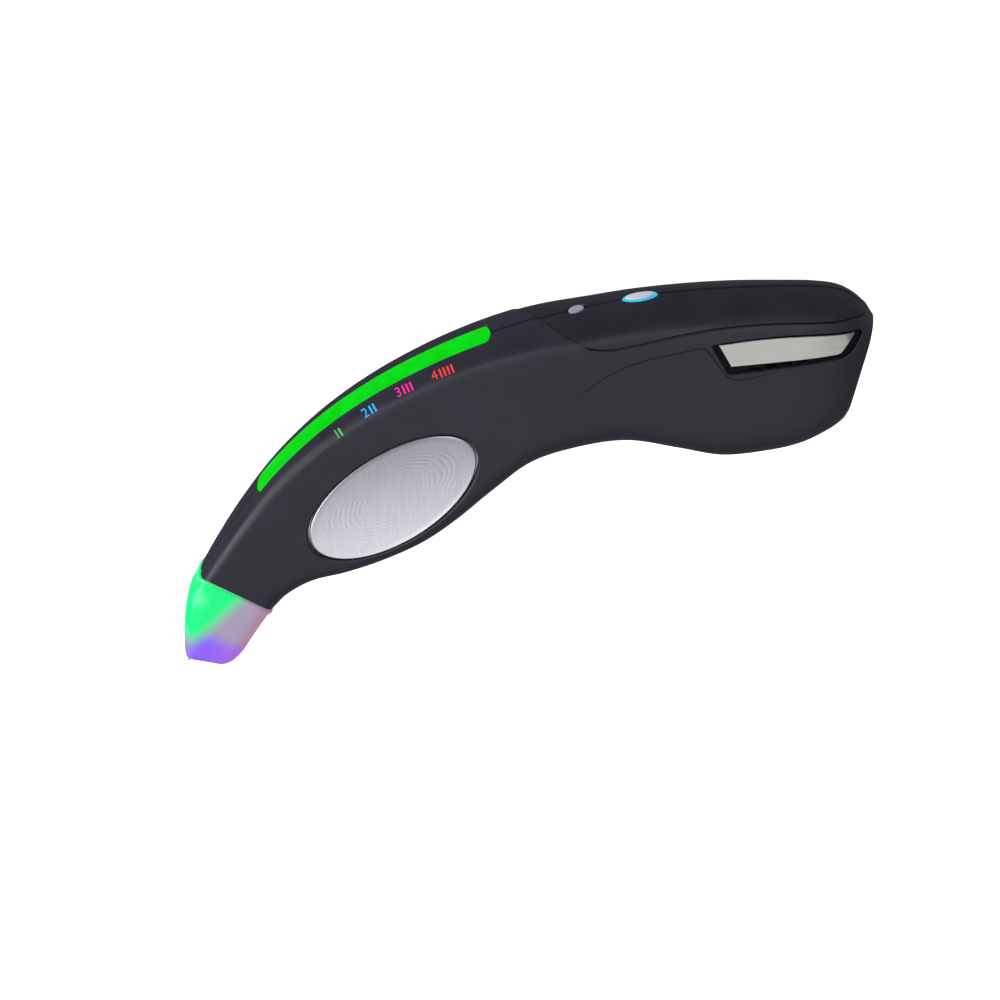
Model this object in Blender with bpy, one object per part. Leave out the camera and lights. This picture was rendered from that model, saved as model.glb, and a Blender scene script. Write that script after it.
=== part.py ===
"""Hand-held diamond tester: a curved black housing with a lit nose, a spring probe,
a light bar along its crest, a metal touch plate on each side and cells in the handle.

The tester lies on its right side. +X runs along the handle to the rear, +Y points to
the crest with its light bar and buttons, and +Z points out of the left side, so the
plane that divides the two shells is HALF_WIDTH above the surface it lies on.
All lengths are metres.
"""

import math

import bmesh
import bpy
from mathutils import Matrix, Vector

# Housing, measured on the divided plane
LENGTH = 0.1686
HEIGHT = 0.0900
HALF_WIDTH = 0.0145
WALL = 0.0020
ROOF_DEPTH = 0.0100
BELLY_DEPTH = 0.0110

# Gap between neighbouring pieces, and how far a cut runs past what it cuts
CLEARANCE = 0.0003
OVERRUN = 0.0040

# Top cover, battery door and sounder slots
COVER_SLANT_SHARE = 0.50
COVER_SINK = 0.0003
GROOVE_WIDTH = 0.0006
GROOVE_DEPTH = 0.0005
DOOR_HALF_WIDTH = 0.0090
DOOR_FRONT_SHARE = -0.070
DOOR_REAR_TOP_SHARE = -0.006
DOOR_REACH = 0.0052
SLOT_COUNT = 4
SLOT_LENGTH = 0.0026
SLOT_WIDTH = 0.0007
SLOT_PITCH = 0.0038

# Light bar
BAR_FROM_SHARE = 0.152
BAR_TO_SHARE = 0.418
BAR_WIDTH = 0.0088
BAR_PROUD = 0.0002
BAR_FLANGE = 0.0008
LED_COUNT = 6
LED_LENGTH = 0.0028
LED_WIDTH = 0.0020
LED_HEIGHT = 0.0009
STRIP_THICKNESS = 0.0006

# Buttons
POWER_PLACE_SHARE = 0.599
POWER_LENGTH = 0.0072
POWER_WIDTH = 0.0042
POWER_TRAVEL = 0.0005
RING_WIDTH = 0.0010
RING_PROUD = 0.0002
LIGHT_BUTTON_PLACE_SHARE = 0.524
LIGHT_BUTTON_RADIUS = 0.0020
LIGHT_BUTTON_TRAVEL = 0.0004
BUTTON_PROUD = 0.0006
BUTTON_FLANGE = 0.0006
RING_SEAT = 0.0026
SWITCH_WIDTH = 0.0060
SWITCH_HEIGHT = 0.0012
SWITCH_SLACK = 0.00015
PLUNGER_RADIUS = 0.0015
PLUNGER_HEIGHT = 0.0004
BOARD_THICKNESS = 0.0008
STEM_RADIUS = 0.0012

# Touch plates and name plates
PLATE_X_SHARE = -0.3366
PLATE_Y_SHARE = -0.2655
PLATE_LONG_SHARE = 0.1483
PLATE_SHORT_SHARE = 0.1311
PLATE_TURN = math.radians(36.4)
PLATE_DISH = 0.0012
PLATE_THICKNESS = 0.0008
PLATE_FLANGE = 0.0010
PLATE_SEAT = 0.0025
NAME_THICKNESS = 0.0006
NAME_RECESS = 0.0010

# Nose and probe
NOSE_LENGTH = 0.0223
NOSE_WALL = 0.0012
NOSE_ROOT_SHARE = 0.06
NOSE_CAVITY_SHARE = 0.95
SEAT_LENGTH = 0.0027
NOSE_PROUD = 0.0004
SPIGOT_SHARE = 0.029
JOINT_SWEEP_SHARE = 0.014
PROBE_OFFSET = 0.0020
PROBE_STUB = 0.0004
PROBE_RADIUS = 0.0004
PROBE_TRAVEL = 0.0012
PROBE_HOLE_RADIUS = 0.0007
PLUNGER_SEAT_RADIUS = 0.00085
BARREL_RADIUS = 0.0013
BARREL_BORE = 0.0010
BARREL_LIP = 0.0010
BARREL_TAIL = 0.0080
SPRING_LENGTH = 0.0060
SPRING_WIRE = 0.00012
SPRING_TURNS = 7
LAMP_RADIUS = 0.0015
LAMP_OFFSET = -0.0013
LAMP_LENGTH = 0.0060
WINDOW_RADIUS = 0.0018
STATUS_LAMP_RADIUS = 0.0012
STATUS_LAMP_OFFSET = 0.0051
STATUS_LAMP_LENGTH = 0.0062
LAMP_STEM_RADIUS = 0.0007
HOLDER_FROM_SHARE = 0.15
HOLDER_TO_SHARE = 0.38

# Cells and their tray
CELL_LENGTH = 0.0433
CELL_RADIUS = 0.00525
NUB_LENGTH = 0.0012
NUB_RADIUS = 0.0019
CELL_SPACE = 0.0001
LOWER_CELL_SHARE = -0.0306
TRAY_WALL = 0.0008
TRAY_MIDDLE_SHARE = 0.0635
TRAY_HALF_WIDTH = 0.0107
TRAY_FLOOR_SHARE = -0.0620
TRAY_WING_SHARE = -0.0310
CONTACT_THICKNESS = 0.0004
CONTACT_SPRING = 0.0024
CONTACT_WIRE = 0.00025
CONTACT_TURNS = 3

# Boards, chip, sounder and fixings
BOARD_BELLY_INSET = 0.0100
BOARD_FROM_SHARE = 0.100
BOARD_TO_SHARE = 0.400
BUTTON_BOARD_FROM_SHARE = 0.513
BUTTON_BOARD_TO_SHARE = 0.625
BUTTON_BOARD_HALF_WIDTH = 0.0112
NOSE_BOARD_DEPTH = 0.0050
NOSE_BOARD_HALF_LENGTH = 0.0076
NOSE_BOARD_HALF_WIDTH = 0.0044
CHIP_SIZE = 0.0080
CHIP_HEIGHT = 0.0012
SOUNDER_RADIUS = 0.0050
SOUNDER_HEIGHT = 0.0042
SOUNDER_TRAY_GAP = 0.0014
SCREW_TRAY_GAP = 0.0026
PIN_RADIUS = 0.0014
PIN_TIP_RADIUS = 0.0007
PIN_TIP_LENGTH = 0.0030
POST_RADIUS = 0.0016
BOSS_RADIUS = 0.0032
PILOT_BOSS_RADIUS = 0.0023
SCREW_RADIUS = 0.0010
SCREW_HEAD_RADIUS = 0.0019
SCREW_HEAD_HEIGHT = 0.0013
SCREW_SEAT = 0.0045
SCREW_BITE = 0.0065

# Distance below which the points of a coil's caps are one point
FINE = 0.00001

# Angle past which a face of a skin is bent, and is split
FLAT_ANGLE = math.radians(0.01)

# How finely the shapes are drawn
ALONG_STEPS = 30
ROOF_STEPS = 5
SIDE_STEPS = 2
BELLY_STEPS = 5
REAR_STEPS = 3
NOSE_STEPS = 9
PATCH_STEPS = 6
ROUND_SIDES = 16
PLATE_SIDES = 28
COIL_POINTS = 8
HALVINGS = 40

# One row for each cross-section of the housing, from the nose joint to the rear face:
# crest x and y, belly x and y, as shares of LENGTH and HEIGHT, then the half width
# as a share of HALF_WIDTH, the depth and squareness of the roof, and those of the belly
profile_shares = (
    (-0.6235, -0.562, -0.516, -0.663, 0.54, 0.45, 4.0, 0.45, 2.2),
    (-0.599, -0.478, -0.489, -0.606, 0.62, 0.48, 4.2, 0.48, 2.2),
    (-0.563, -0.367, -0.450, -0.561, 0.69, 0.52, 4.5, 0.50, 2.2),
    (-0.511, -0.230, -0.402, -0.536, 0.73, 0.58, 4.5, 0.50, 2.2),
    (-0.445, -0.102, -0.348, -0.496, 0.79, 0.62, 4.5, 0.50, 2.2),
    (-0.371, 0.005, -0.289, -0.437, 0.85, 0.65, 4.5, 0.50, 2.2),
    (-0.289, 0.096, -0.239, -0.363, 0.90, 0.68, 4.5, 0.55, 2.3),
    (-0.208, 0.167, -0.186, -0.272, 0.95, 0.68, 4.0, 0.70, 2.4),
    (-0.133, 0.218, -0.130, -0.186, 1.00, 0.65, 3.0, 0.85, 2.5),
    (-0.059, 0.256, -0.059, -0.143, 1.00, 0.68, 2.2, 0.95, 2.4),
    (0.015, 0.289, 0.012, -0.125, 1.00, 0.85, 2.0, 1.00, 2.4),
    (0.089, 0.309, 0.086, -0.148, 1.00, 0.95, 1.95, 1.00, 2.4),
    (0.163, 0.320, 0.151, -0.170, 1.00, 0.98, 1.9, 1.00, 2.4),
    (0.237, 0.325, 0.219, -0.158, 0.95, 0.95, 1.8, 1.00, 2.4),
    (0.289, 0.324, 0.267, -0.136, 0.90, 0.90, 1.8, 0.95, 2.4),
    (0.326, 0.314, 0.306, -0.100, 0.81, 0.85, 1.8, 0.85, 2.4),
    (0.356, 0.278, 0.328, -0.072, 0.67, 0.80, 1.9, 0.75, 2.4),
    (0.375, 0.222, 0.335, -0.055, 0.52, 0.55, 2.2, 0.60, 2.4),
)

# The same for the nose, from the joint outward: distance from the joint at the front
# and at the back as shares of NOSE_LENGTH, offset of the front and of the back edge as
# shares of the joint's half depth, half width as a share of the joint's own, squareness
nose_shares = (
    (0.000, 0.000, 1.020, -1.000, 1.00, 4.0, 2.2),
    (0.193, 0.202, 1.040, -0.955, 0.98, 3.2, 2.2),
    (0.386, 0.404, 0.945, -0.915, 0.94, 2.8, 2.2),
    (0.583, 0.583, 0.790, -0.885, 0.87, 2.6, 2.2),
    (0.785, 0.740, 0.580, -0.810, 0.70, 2.4, 2.2),
    (0.933, 0.835, 0.400, -0.700, 0.48, 2.3, 2.2),
    (0.990, 0.870, 0.310, -0.580, 0.32, 2.2, 2.2),
)

# Where the top cover parts from the shells on the divided plane, from its tip rearward,
# as shares of LENGTH and HEIGHT. The line slants rearward towards the left side.
parting_shares = (
    (-0.1215, 0.222),
    (-0.104, 0.218),
    (-0.084, 0.201),
    (-0.056, 0.198),
    (-0.018, 0.211),
    (0.061, 0.239),
    (0.140, 0.259),
    (0.222, 0.267),
    (0.296, 0.264),
    (0.460, 0.240),
)

# Rings of a touch plate's dish, as shares of its size
dish_shares = (0.08, 0.35, 0.60, 0.80, 0.93)

# Corners of a name plate and of its recess, as shares of LENGTH and HEIGHT: front top,
# rear top, rear foot and front foot
name_plate_shares = ((0.146, 0.205), (0.347, 0.232), (0.330, 0.176), (0.165, 0.141))
name_recess_shares = ((0.136, 0.208), (0.357, 0.238), (0.336, 0.166), (0.164, 0.121))

# Screws that hold the shells together, as shares of LENGTH and HEIGHT
screw_shares = ((-0.455, -0.505), (-0.185, -0.215), (0.330, 0.140))

# Heights of the two screws that lie in front of the battery tray and behind it
TRAY_FRONT_SCREW_SHARE = 0.020
TRAY_REAR_SCREW_SHARE = -0.040

# Posts of the right shell that carry the main board, as shares of LENGTH and HEIGHT
post_shares = ((-0.510, -0.378), (-0.297, 0.000))

# Places of the chip on the main board, of the sounder and of the first of its slots
CHIP_X_SHARE = -0.280
CHIP_Y_SHARE = -0.080
SOUNDER_Y_SHARE = 0.068
SLOT_X_SHARE = 0.201
SLOT_Y_SHARE = 0.1405
SLOT_RISE_SHARE = 0.16


def spline(values, position):
    """A smooth value between the entries of a list, at a position from 0 to 1."""
    spans = len(values) - 1
    place = min(max(position, 0.0), 1.0) * spans
    index = min(int(place), spans - 1)
    t = place - index
    p1 = values[index]
    p2 = values[index + 1]
    p0 = values[index - 1] if index else 2 * p1 - p2
    p3 = values[index + 2] if index < spans - 1 else 2 * p2 - p1
    slope_1 = (p2 - p0) / 2
    slope_2 = (p3 - p1) / 2
    return (
        (2 * t ** 3 - 3 * t ** 2 + 1) * p1
        + (t ** 3 - 2 * t ** 2 + t) * slope_1
        + (3 * t ** 2 - 2 * t ** 3) * p2
        + (t ** 3 - t ** 2) * slope_2
    )


def place(x_share, y_share):
    """A point of the divided plane."""
    return Vector((LENGTH * x_share, HEIGHT * y_share, 0.0))


def crest(position):
    return place(spline([row[0] for row in profile_shares], position),
                 spline([row[1] for row in profile_shares], position))


def belly(position):
    return place(spline([row[2] for row in profile_shares], position),
                 spline([row[3] for row in profile_shares], position))


def figure(position):
    """Crest, belly, half width, roof depth and squareness, belly depth and squareness."""
    share = [spline([row[index] for row in profile_shares], position) for index in range(4, 9)]
    return (crest(position), belly(position), HALF_WIDTH * min(share[0], 1.0),
            ROOF_DEPTH * share[1], share[2], BELLY_DEPTH * share[3], share[4])


def inset_figure(shape, inset):
    """The same cross-section with every side moved in."""
    top, bottom, half, roof, roof_power, keel, keel_power = shape
    down = (bottom - top).normalized()
    return (top + down * inset, bottom - down * inset, half - inset,
            max(roof - inset, inset), roof_power, max(keel - inset, inset), keel_power)


def half_outline(shape):
    """The left half of a cross-section, from the crest to the belly."""
    top, bottom, half, roof, roof_power, keel, keel_power = shape
    down = (bottom - top).normalized()
    span = (bottom - top).length
    out = Vector((0.0, 0.0, half))
    points = []
    for step in range(ROOF_STEPS + 1):
        angle = math.pi / 2 * step / ROOF_STEPS
        depth = roof * (1 - math.cos(angle) ** (2 / roof_power))
        points.append(top + down * depth + out * math.sin(angle) ** (2 / roof_power))
    for step in range(1, SIDE_STEPS):
        depth = roof + (span - roof - keel) * step / SIDE_STEPS
        points.append(top + down * depth + out)
    for step in range(BELLY_STEPS, -1, -1):
        angle = math.pi / 2 * step / BELLY_STEPS
        depth = span - keel * (1 - math.cos(angle) ** (2 / keel_power))
        points.append(top + down * depth + out * math.sin(angle) ** (2 / keel_power))
    return points


def whole_outline(shape):
    """A closed cross-section, round from the crest."""
    left = half_outline(shape)
    right = [Vector((point.x, point.y, -point.z)) for point in left[1:-1]]
    return left + right[::-1]


def station_at(point):
    """The position whose cross-section passes through a point of the divided plane."""
    low = 0.0
    high = 1.0
    for _ in range(HALVINGS):
        middle = (low + high) / 2
        across = belly(middle) - crest(middle)
        if across.cross(point - crest(middle)).z > 0:
            low = middle
        else:
            high = middle
    return (low + high) / 2


def skin(x, y):
    """How far the left side stands from the divided plane above a point of the profile."""
    point = Vector((x, y, 0.0))
    top, bottom, half, roof, roof_power, keel, keel_power = figure(station_at(point))
    down = (bottom - top).normalized()
    depth = (point - top).dot(down)
    from_belly = (bottom - top).length - depth
    lost = 0.0
    if depth < roof:
        lost = min(1 - depth / roof, 1.0) ** roof_power
        return half * (1 - lost) ** (1 / roof_power)
    if from_belly < keel:
        lost = min(1 - from_belly / keel, 1.0) ** keel_power
        return half * (1 - lost) ** (1 / keel_power)
    return half


def axes_at(origin, along):
    """A frame in the divided plane: x along a direction, y a quarter turn on, z left."""
    across = Vector((-along.y, along.x, 0.0))
    frame = Matrix.Identity(4)
    frame.col[0].xyz = along
    frame.col[1].xyz = across
    frame.col[3].xyz = origin
    return frame


def crest_frame(position):
    """Axes at the crest: x along it to the rear, y out of the roof."""
    step = 1 / ALONG_STEPS / 4
    along = (crest(position + step) - crest(position - step)).normalized()
    return axes_at(crest(position), along)


def nose_frame():
    """Axes at the middle of the nose joint: x to the crest, y out of the nose."""
    front = (crest(0.0) - belly(0.0)).normalized()
    return axes_at((crest(0.0) + belly(0.0)) / 2, front)


def clear_scene():
    for item in list(bpy.data.objects):
        bpy.data.objects.remove(item, do_unlink=True)


def add_collection(name):
    collection = bpy.data.collections.new(name)
    bpy.context.scene.collection.children.link(collection)
    return collection


def add_material(name, color, roughness, metallic=0.0, glow=0.0):
    material = bpy.data.materials.new(name)
    material.use_nodes = True
    shader = material.node_tree.nodes["Principled BSDF"]
    shader.inputs["Base Color"].default_value = color + (1.0,)
    shader.inputs["Roughness"].default_value = roughness
    shader.inputs["Metallic"].default_value = metallic
    shader.inputs["Emission Color"].default_value = color + (1.0,)
    shader.inputs["Emission Strength"].default_value = glow
    material.diffuse_color = color + (1.0,)
    return material


def add_object(name, bm, material, smooth=True):
    """A closed mesh as an object of the tester, under the empty on its divided plane."""
    bmesh.ops.recalc_face_normals(bm, faces=bm.faces)
    mesh = bpy.data.meshes.new(name)
    bm.to_mesh(mesh)
    bm.free()
    item = bpy.data.objects.new(name, mesh)
    if material:
        tester.objects.link(item)
        mesh.materials.append(material)
    else:
        cutters.objects.link(item)
        item.hide_render = True
        item.display_type = "WIRE"
    if smooth:
        mesh.shade_smooth()
        mesh.set_sharp_from_angle(angle=math.radians(35))
    item.parent = middle
    return item


def cut(item, tool, operation="DIFFERENCE"):
    change = item.modifiers.new(tool.name, "BOOLEAN")
    change.object = tool
    change.operation = operation


def bridge(bm, rings, closed=False):
    """Join rings of points of equal count into a skin of flat faces, with end caps."""
    rows = [[bm.verts.new(point) for point in ring] for ring in rings]
    count = len(rows[0])
    pairs = list(zip(rows, rows[1:])) + ([(rows[-1], rows[0])] if closed else [])
    for row, following in pairs:
        for index in range(count):
            after = (index + 1) % count
            bm.faces.new((row[index], row[after], following[after], following[index]))
    if not closed:
        bm.faces.new(rows[0][::-1])
        bm.faces.new(rows[-1])
    bmesh.ops.connect_verts_nonplanar(bm, angle_limit=FLAT_ANGLE, faces=bm.faces)
    return bm


def slab(outline, low, high):
    """A solid over an outline in the profile, from one height function to another."""
    bm = bmesh.new()
    under = [Vector((point.x, point.y, low(point))) for point in outline]
    over = [Vector((point.x, point.y, high(point))) for point in outline]
    return bridge(bm, (under, over))


def at(value):
    """A height function that is the same everywhere."""
    return lambda point: value


def block(frame, low, high):
    """A box between two corners given in a frame."""
    bm = bmesh.new()
    size = high - low
    spot = frame @ Matrix.Translation((low + high) / 2) @ Matrix.Diagonal(size.to_4d())
    bmesh.ops.create_cube(bm, size=1.0, matrix=spot)
    return bm


def oval_rings(frame, steps, long_radius=0.0, short_radius=0.0, sides=ROUND_SIDES):
    """Rings about a frame's y axis, from pairs of distance and outset."""
    rings = []
    for distance, outset in steps:
        ring = []
        for side in range(sides):
            angle = math.tau * (side + 0.5) / sides
            ring.append(frame @ Vector(((long_radius + outset) * math.cos(angle), distance,
                                        (short_radius + outset) * math.sin(angle))))
        rings.append(ring)
    return rings


def turned(frame, steps, hollow=False):
    """A round solid about a frame's y axis, from pairs of distance and radius."""
    return bridge(bmesh.new(), oval_rings(frame, steps), closed=hollow)


def coil(frame, start, length, radius, wire, turns):
    """An open coil of wire about a frame's y axis, as a mesh with welded caps."""
    curve = bpy.data.curves.new("coil", "CURVE")
    curve.dimensions = "3D"
    curve.bevel_depth = wire
    curve.bevel_resolution = 0
    curve.use_fill_caps = True
    path = curve.splines.new("POLY")
    count = turns * COIL_POINTS + 1
    path.points.add(count - 1)
    for index in range(count):
        angle = math.tau * index / COIL_POINTS
        along = start + length * index / (count - 1)
        spot = frame @ Vector((radius * math.cos(angle), along, radius * math.sin(angle)))
        path.points[index].co = spot.to_4d()
    guide = bpy.data.objects.new("coil", curve)
    bpy.context.scene.collection.objects.link(guide)
    bpy.context.view_layer.update()
    mesh = bpy.data.meshes.new_from_object(guide.evaluated_get(bpy.context.evaluated_depsgraph_get()))
    bm = bmesh.new()
    bm.from_mesh(mesh)
    bmesh.ops.remove_doubles(bm, verts=bm.verts, dist=FINE)
    bpy.data.objects.remove(guide, do_unlink=True)
    bpy.data.meshes.remove(mesh)
    return bm


def shift(frame, offset):
    return frame @ Matrix.Translation(offset)


def crest_band(start, end, half_width, top, bottom, steps):
    """A strip that follows the crest between two insets, square in section."""
    rings = []
    for step in range(steps + 1):
        frame = crest_frame(start + (end - start) * step / steps)
        rings.append([frame @ Vector((0.0, -depth, side * half_width))
                      for depth, side in ((top, 1), (bottom, 1), (bottom, -1), (top, -1))])
    return bridge(bmesh.new(), rings)


def side_frame(x, y, side):
    """Axes on the divided plane with y pointing out of the left or the right side."""
    frame = Matrix.Identity(4)
    frame.col[1].xyz = (0.0, 0.0, side)
    frame.col[2].xyz = (0.0, -side, 0.0)
    frame.col[3].xyz = (x, y, 0.0)
    return frame


def joint_ring(inset, lift=0.0):
    """The housing's front edge, swept back at its sides and lifted towards the nose."""
    flat = whole_outline(inset_figure(figure(0.0), inset))
    half = max(point.z for point in flat)
    out = nose_frame().col[1].xyz * lift
    ring = []
    for index, point in enumerate(flat):
        position = JOINT_SWEEP_SHARE * (point.z / half) ** 2
        ring.append(whole_outline(inset_figure(figure(position), inset))[index] + out)
    return ring


def housing(name, material, sink=0.0):
    """The whole thin-walled housing, open at the nose, before it is divided."""
    outside = [joint_ring(sink)]
    outside += [whole_outline(inset_figure(figure(step / ALONG_STEPS), sink))
                for step in range(1, ALONG_STEPS + 1)]
    inside = [joint_ring(WALL)]
    inside += [whole_outline(inset_figure(figure(step / ALONG_STEPS), WALL))
               for step in range(1, ALONG_STEPS - REAR_STEPS + 1)]
    end = (belly(1.0) - crest(1.0)).normalized()
    forward = Vector((end.y, -end.x, 0.0)) * WALL
    inside.append([point + forward for point in whole_outline(inset_figure(figure(1.0), WALL))])
    return add_object(name, bridge(bmesh.new(), outside[::-1] + inside), material)


def cover_space(name, gap):
    """The region over the parting line, which slants across the roof."""
    reach = HALF_WIDTH + OVERRUN
    roof = HEIGHT / 2
    rings = []
    for side in (-1, 1):
        slant = Vector((side * reach * COVER_SLANT_SHARE, 0.0, side * reach))
        line = [place(*share) + slant - Vector((0.0, gap, 0.0)) for share in parting_shares]
        line[0].x -= gap
        corners = [Vector((point.x, roof, point.z)) for point in (line[-1], line[0])]
        rings.append(line + corners)
    return add_object(name, bridge(bmesh.new(), rings), None, smooth=False)


def half_space(name, side):
    """The region on one side of the divided plane, past the whole housing."""
    reach = LENGTH / 2 + OVERRUN
    near = side * CLEARANCE / 2
    far = side * (HALF_WIDTH + OVERRUN)
    low = Vector((-reach, -reach, min(near, far)))
    high = Vector((reach, reach, max(near, far)))
    frame = Matrix.Translation(Vector((crest(0.0).x + reach, 0.0, 0.0)))
    return add_object(name, block(frame, low, high), None, smooth=False)


def bar_space():
    edge = CLEARANCE / LENGTH
    band = crest_band(BAR_FROM_SHARE - edge, BAR_TO_SHARE + edge, BAR_WIDTH / 2 + CLEARANCE,
                      -OVERRUN, WALL + OVERRUN / 2, ALONG_STEPS // 2)
    return add_object("bar_space", band, None, smooth=False)


def hinge_position():
    """The position whose belly point lies at the door's front edge."""
    low = 0.0
    high = 1.0
    for _ in range(HALVINGS):
        position = (low + high) / 2
        if belly(position).x < LENGTH * DOOR_FRONT_SHARE:
            low = position
        else:
            high = position
    return low


def door_space(name, gap):
    """The region of the battery door: the belly from its hinge round to the rear face."""
    first = hinge_position()
    top = HEIGHT * DOOR_REAR_TOP_SHARE
    steps = ALONG_STEPS // 3
    points = [belly(first + (1 - first) * step / steps) for step in range(steps + 1)]
    rise = Vector((0.0, DOOR_REACH + gap, 0.0))
    rear_wall = points[-1].x - WALL
    outline = [point + rise for point in points if point.x < rear_wall]
    outline[0].x -= gap
    outline.append(Vector((rear_wall - gap, top + gap, 0.0)))
    rear = LENGTH * parting_shares[-1][0]
    low = -HEIGHT / 2
    outline += [Vector((rear, top + gap, 0.0)), Vector((rear, low, 0.0)), Vector((outline[0].x, low, 0.0))]
    reach = DOOR_HALF_WIDTH + gap
    return add_object(name, slab(outline, at(-reach), at(reach)), None, smooth=False)


def oval(share, side, drop):
    """A ring of points round a touch plate's place, sunk below the skin."""
    center = place(PLATE_X_SHARE, PLATE_Y_SHARE)
    points = []
    for index in range(PLATE_SIDES):
        angle = math.tau * index / PLATE_SIDES
        across = LENGTH * PLATE_LONG_SHARE * share * math.cos(angle)
        rise = HEIGHT * PLATE_SHORT_SHARE * share * math.sin(angle)
        spot = center + Matrix.Rotation(PLATE_TURN, 3, "Z") @ Vector((across, rise, 0.0))
        points.append(Vector((spot.x, spot.y, side * (skin(spot.x, spot.y) - drop))))
    return points


def widened(outset):
    """An oval's share of the touch plate that stands a width outside it."""
    return 1 + outset / (HEIGHT * PLATE_SHORT_SHARE)


def plate_hole(side):
    rings = [oval(widened(CLEARANCE), side, drop) for drop in (-OVERRUN, WALL + OVERRUN)]
    return add_object("plate_hole_" + names[side], bridge(bmesh.new(), rings), None, smooth=False)


def touch_plate(side):
    """A dished oval plate whose rim lies in the shell and whose flange lies behind it."""
    dish = [(share, PLATE_DISH * (1 - share ** 2)) for share in dish_shares]
    inner = widened(-PLATE_THICKNESS)
    rings = [oval(share, side, drop) for share, drop in dish]
    rings.append(oval(1.0, side, 0.0))
    rings.append(oval(1.0, side, PLATE_SEAT))
    rings.append(oval(widened(PLATE_FLANGE), side, PLATE_SEAT))
    rings.append(oval(widened(PLATE_FLANGE), side, PLATE_SEAT + PLATE_THICKNESS))
    rings.append(oval(inner, side, PLATE_SEAT + PLATE_THICKNESS))
    for share, drop in dish[::-1]:
        rings.append(oval(share * inner, side, drop + PLATE_THICKNESS))
    return add_object("touch_plate_" + names[side], bridge(bmesh.new(), rings), metals["plate"])


def patch(corner_shares, side, low, high):
    """A four-cornered slab that follows the skin, between two depths below it."""
    top_front, top_rear, foot_rear, foot_front = [place(*share) for share in corner_shares]
    rings = []
    for step in range(PATCH_STEPS + 1):
        top = top_front.lerp(top_rear, step / PATCH_STEPS)
        foot = foot_front.lerp(foot_rear, step / PATCH_STEPS)
        line = [top.lerp(foot, part / PATCH_STEPS) for part in range(PATCH_STEPS + 1)]
        over = [Vector((point.x, point.y, side * (skin(point.x, point.y) - high))) for point in line]
        under = [Vector((point.x, point.y, side * (skin(point.x, point.y) - low))) for point in line]
        rings.append(over + under[::-1])
    return bridge(bmesh.new(), rings)


def name_recess(side):
    bm = patch(name_recess_shares, side, NAME_RECESS, -OVERRUN)
    return add_object("name_recess_" + names[side], bm, None, smooth=False)


def name_plate(side):
    """A bare plate that lies in its recess."""
    bottom = NAME_RECESS - CLEARANCE
    bm = patch(name_plate_shares, side, bottom, bottom - NAME_THICKNESS)
    return add_object("name_plate_" + names[side], bm, metals["name"])


def sound_slot(number):
    """One of the slots that let the sounder be heard, cut at the foot of the recess."""
    x = LENGTH * SLOT_X_SHARE + SLOT_PITCH * number
    y = HEIGHT * SLOT_Y_SHARE + SLOT_PITCH * number * SLOT_RISE_SHARE
    half = Vector((SLOT_LENGTH / 2, SLOT_WIDTH / 2, (WALL + OVERRUN) / 2))
    frame = Matrix.Translation((x, y, skin(x, y) - WALL / 2))
    return add_object("sound_slot_%d" % (number + 1), block(frame, -half, half), None, smooth=False)


def screw_places():
    """Places of the case screws: three in the profile, and one at each end of the tray."""
    front, rear = tray_ends()[:2]
    gap = BOSS_RADIUS + SCREW_TRAY_GAP
    before = Vector((front - gap, HEIGHT * TRAY_FRONT_SCREW_SHARE, 0.0))
    behind = Vector((rear + gap, HEIGHT * TRAY_REAR_SCREW_SHARE, 0.0))
    return [place(*share) for share in screw_shares] + [before, behind]


def boss_end(spot, radius):
    """Where a boss ends inside the wall, also at the side where the skin falls away."""
    around = [spot + Vector((radius * math.cos(angle), radius * math.sin(angle), 0.0))
              for angle in (math.tau * part / COIL_POINTS for part in range(COIL_POINTS))]
    return min(skin(point.x, point.y) for point in around) - WALL / 2


def add_bosses(shell, kind, side, places, radius, foot):
    """Round bosses from near the divided plane to the shell's wall, joined to the shell."""
    for number, spot in enumerate(places):
        frame = side_frame(spot.x, spot.y, side)
        bm = turned(frame, ((foot, radius), (boss_end(spot, radius), radius)))
        name = "%s_%s_%d" % (kind, names[side], number + 1)
        cut(shell, add_object(name, bm, None, smooth=False), "UNION")


def left_shell():
    """The near half of the housing, with the slots and the screws' pilot holes."""
    shell = housing("left_shell", plastics["shell"])
    cut(shell, spaces["left_half"], "INTERSECT")
    add_bosses(shell, "boss", 1, screw_places(), PILOT_BOSS_RADIUS, CLEARANCE / 2)
    for number, spot in enumerate(screw_places()):
        frame = side_frame(spot.x, spot.y, 1)
        way = SCREW_RADIUS + CLEARANCE
        bm = turned(frame, ((-OVERRUN, way), (SCREW_BITE + CLEARANCE, way)))
        cut(shell, add_object("pilot_%d" % (number + 1), bm, None, smooth=False))
    for space in ("cover", "door", "bar"):
        cut(shell, spaces[space])
    cut(shell, plate_hole(1))
    cut(shell, name_recess(1))
    for number in range(SLOT_COUNT):
        cut(shell, sound_slot(number))
    return shell


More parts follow.
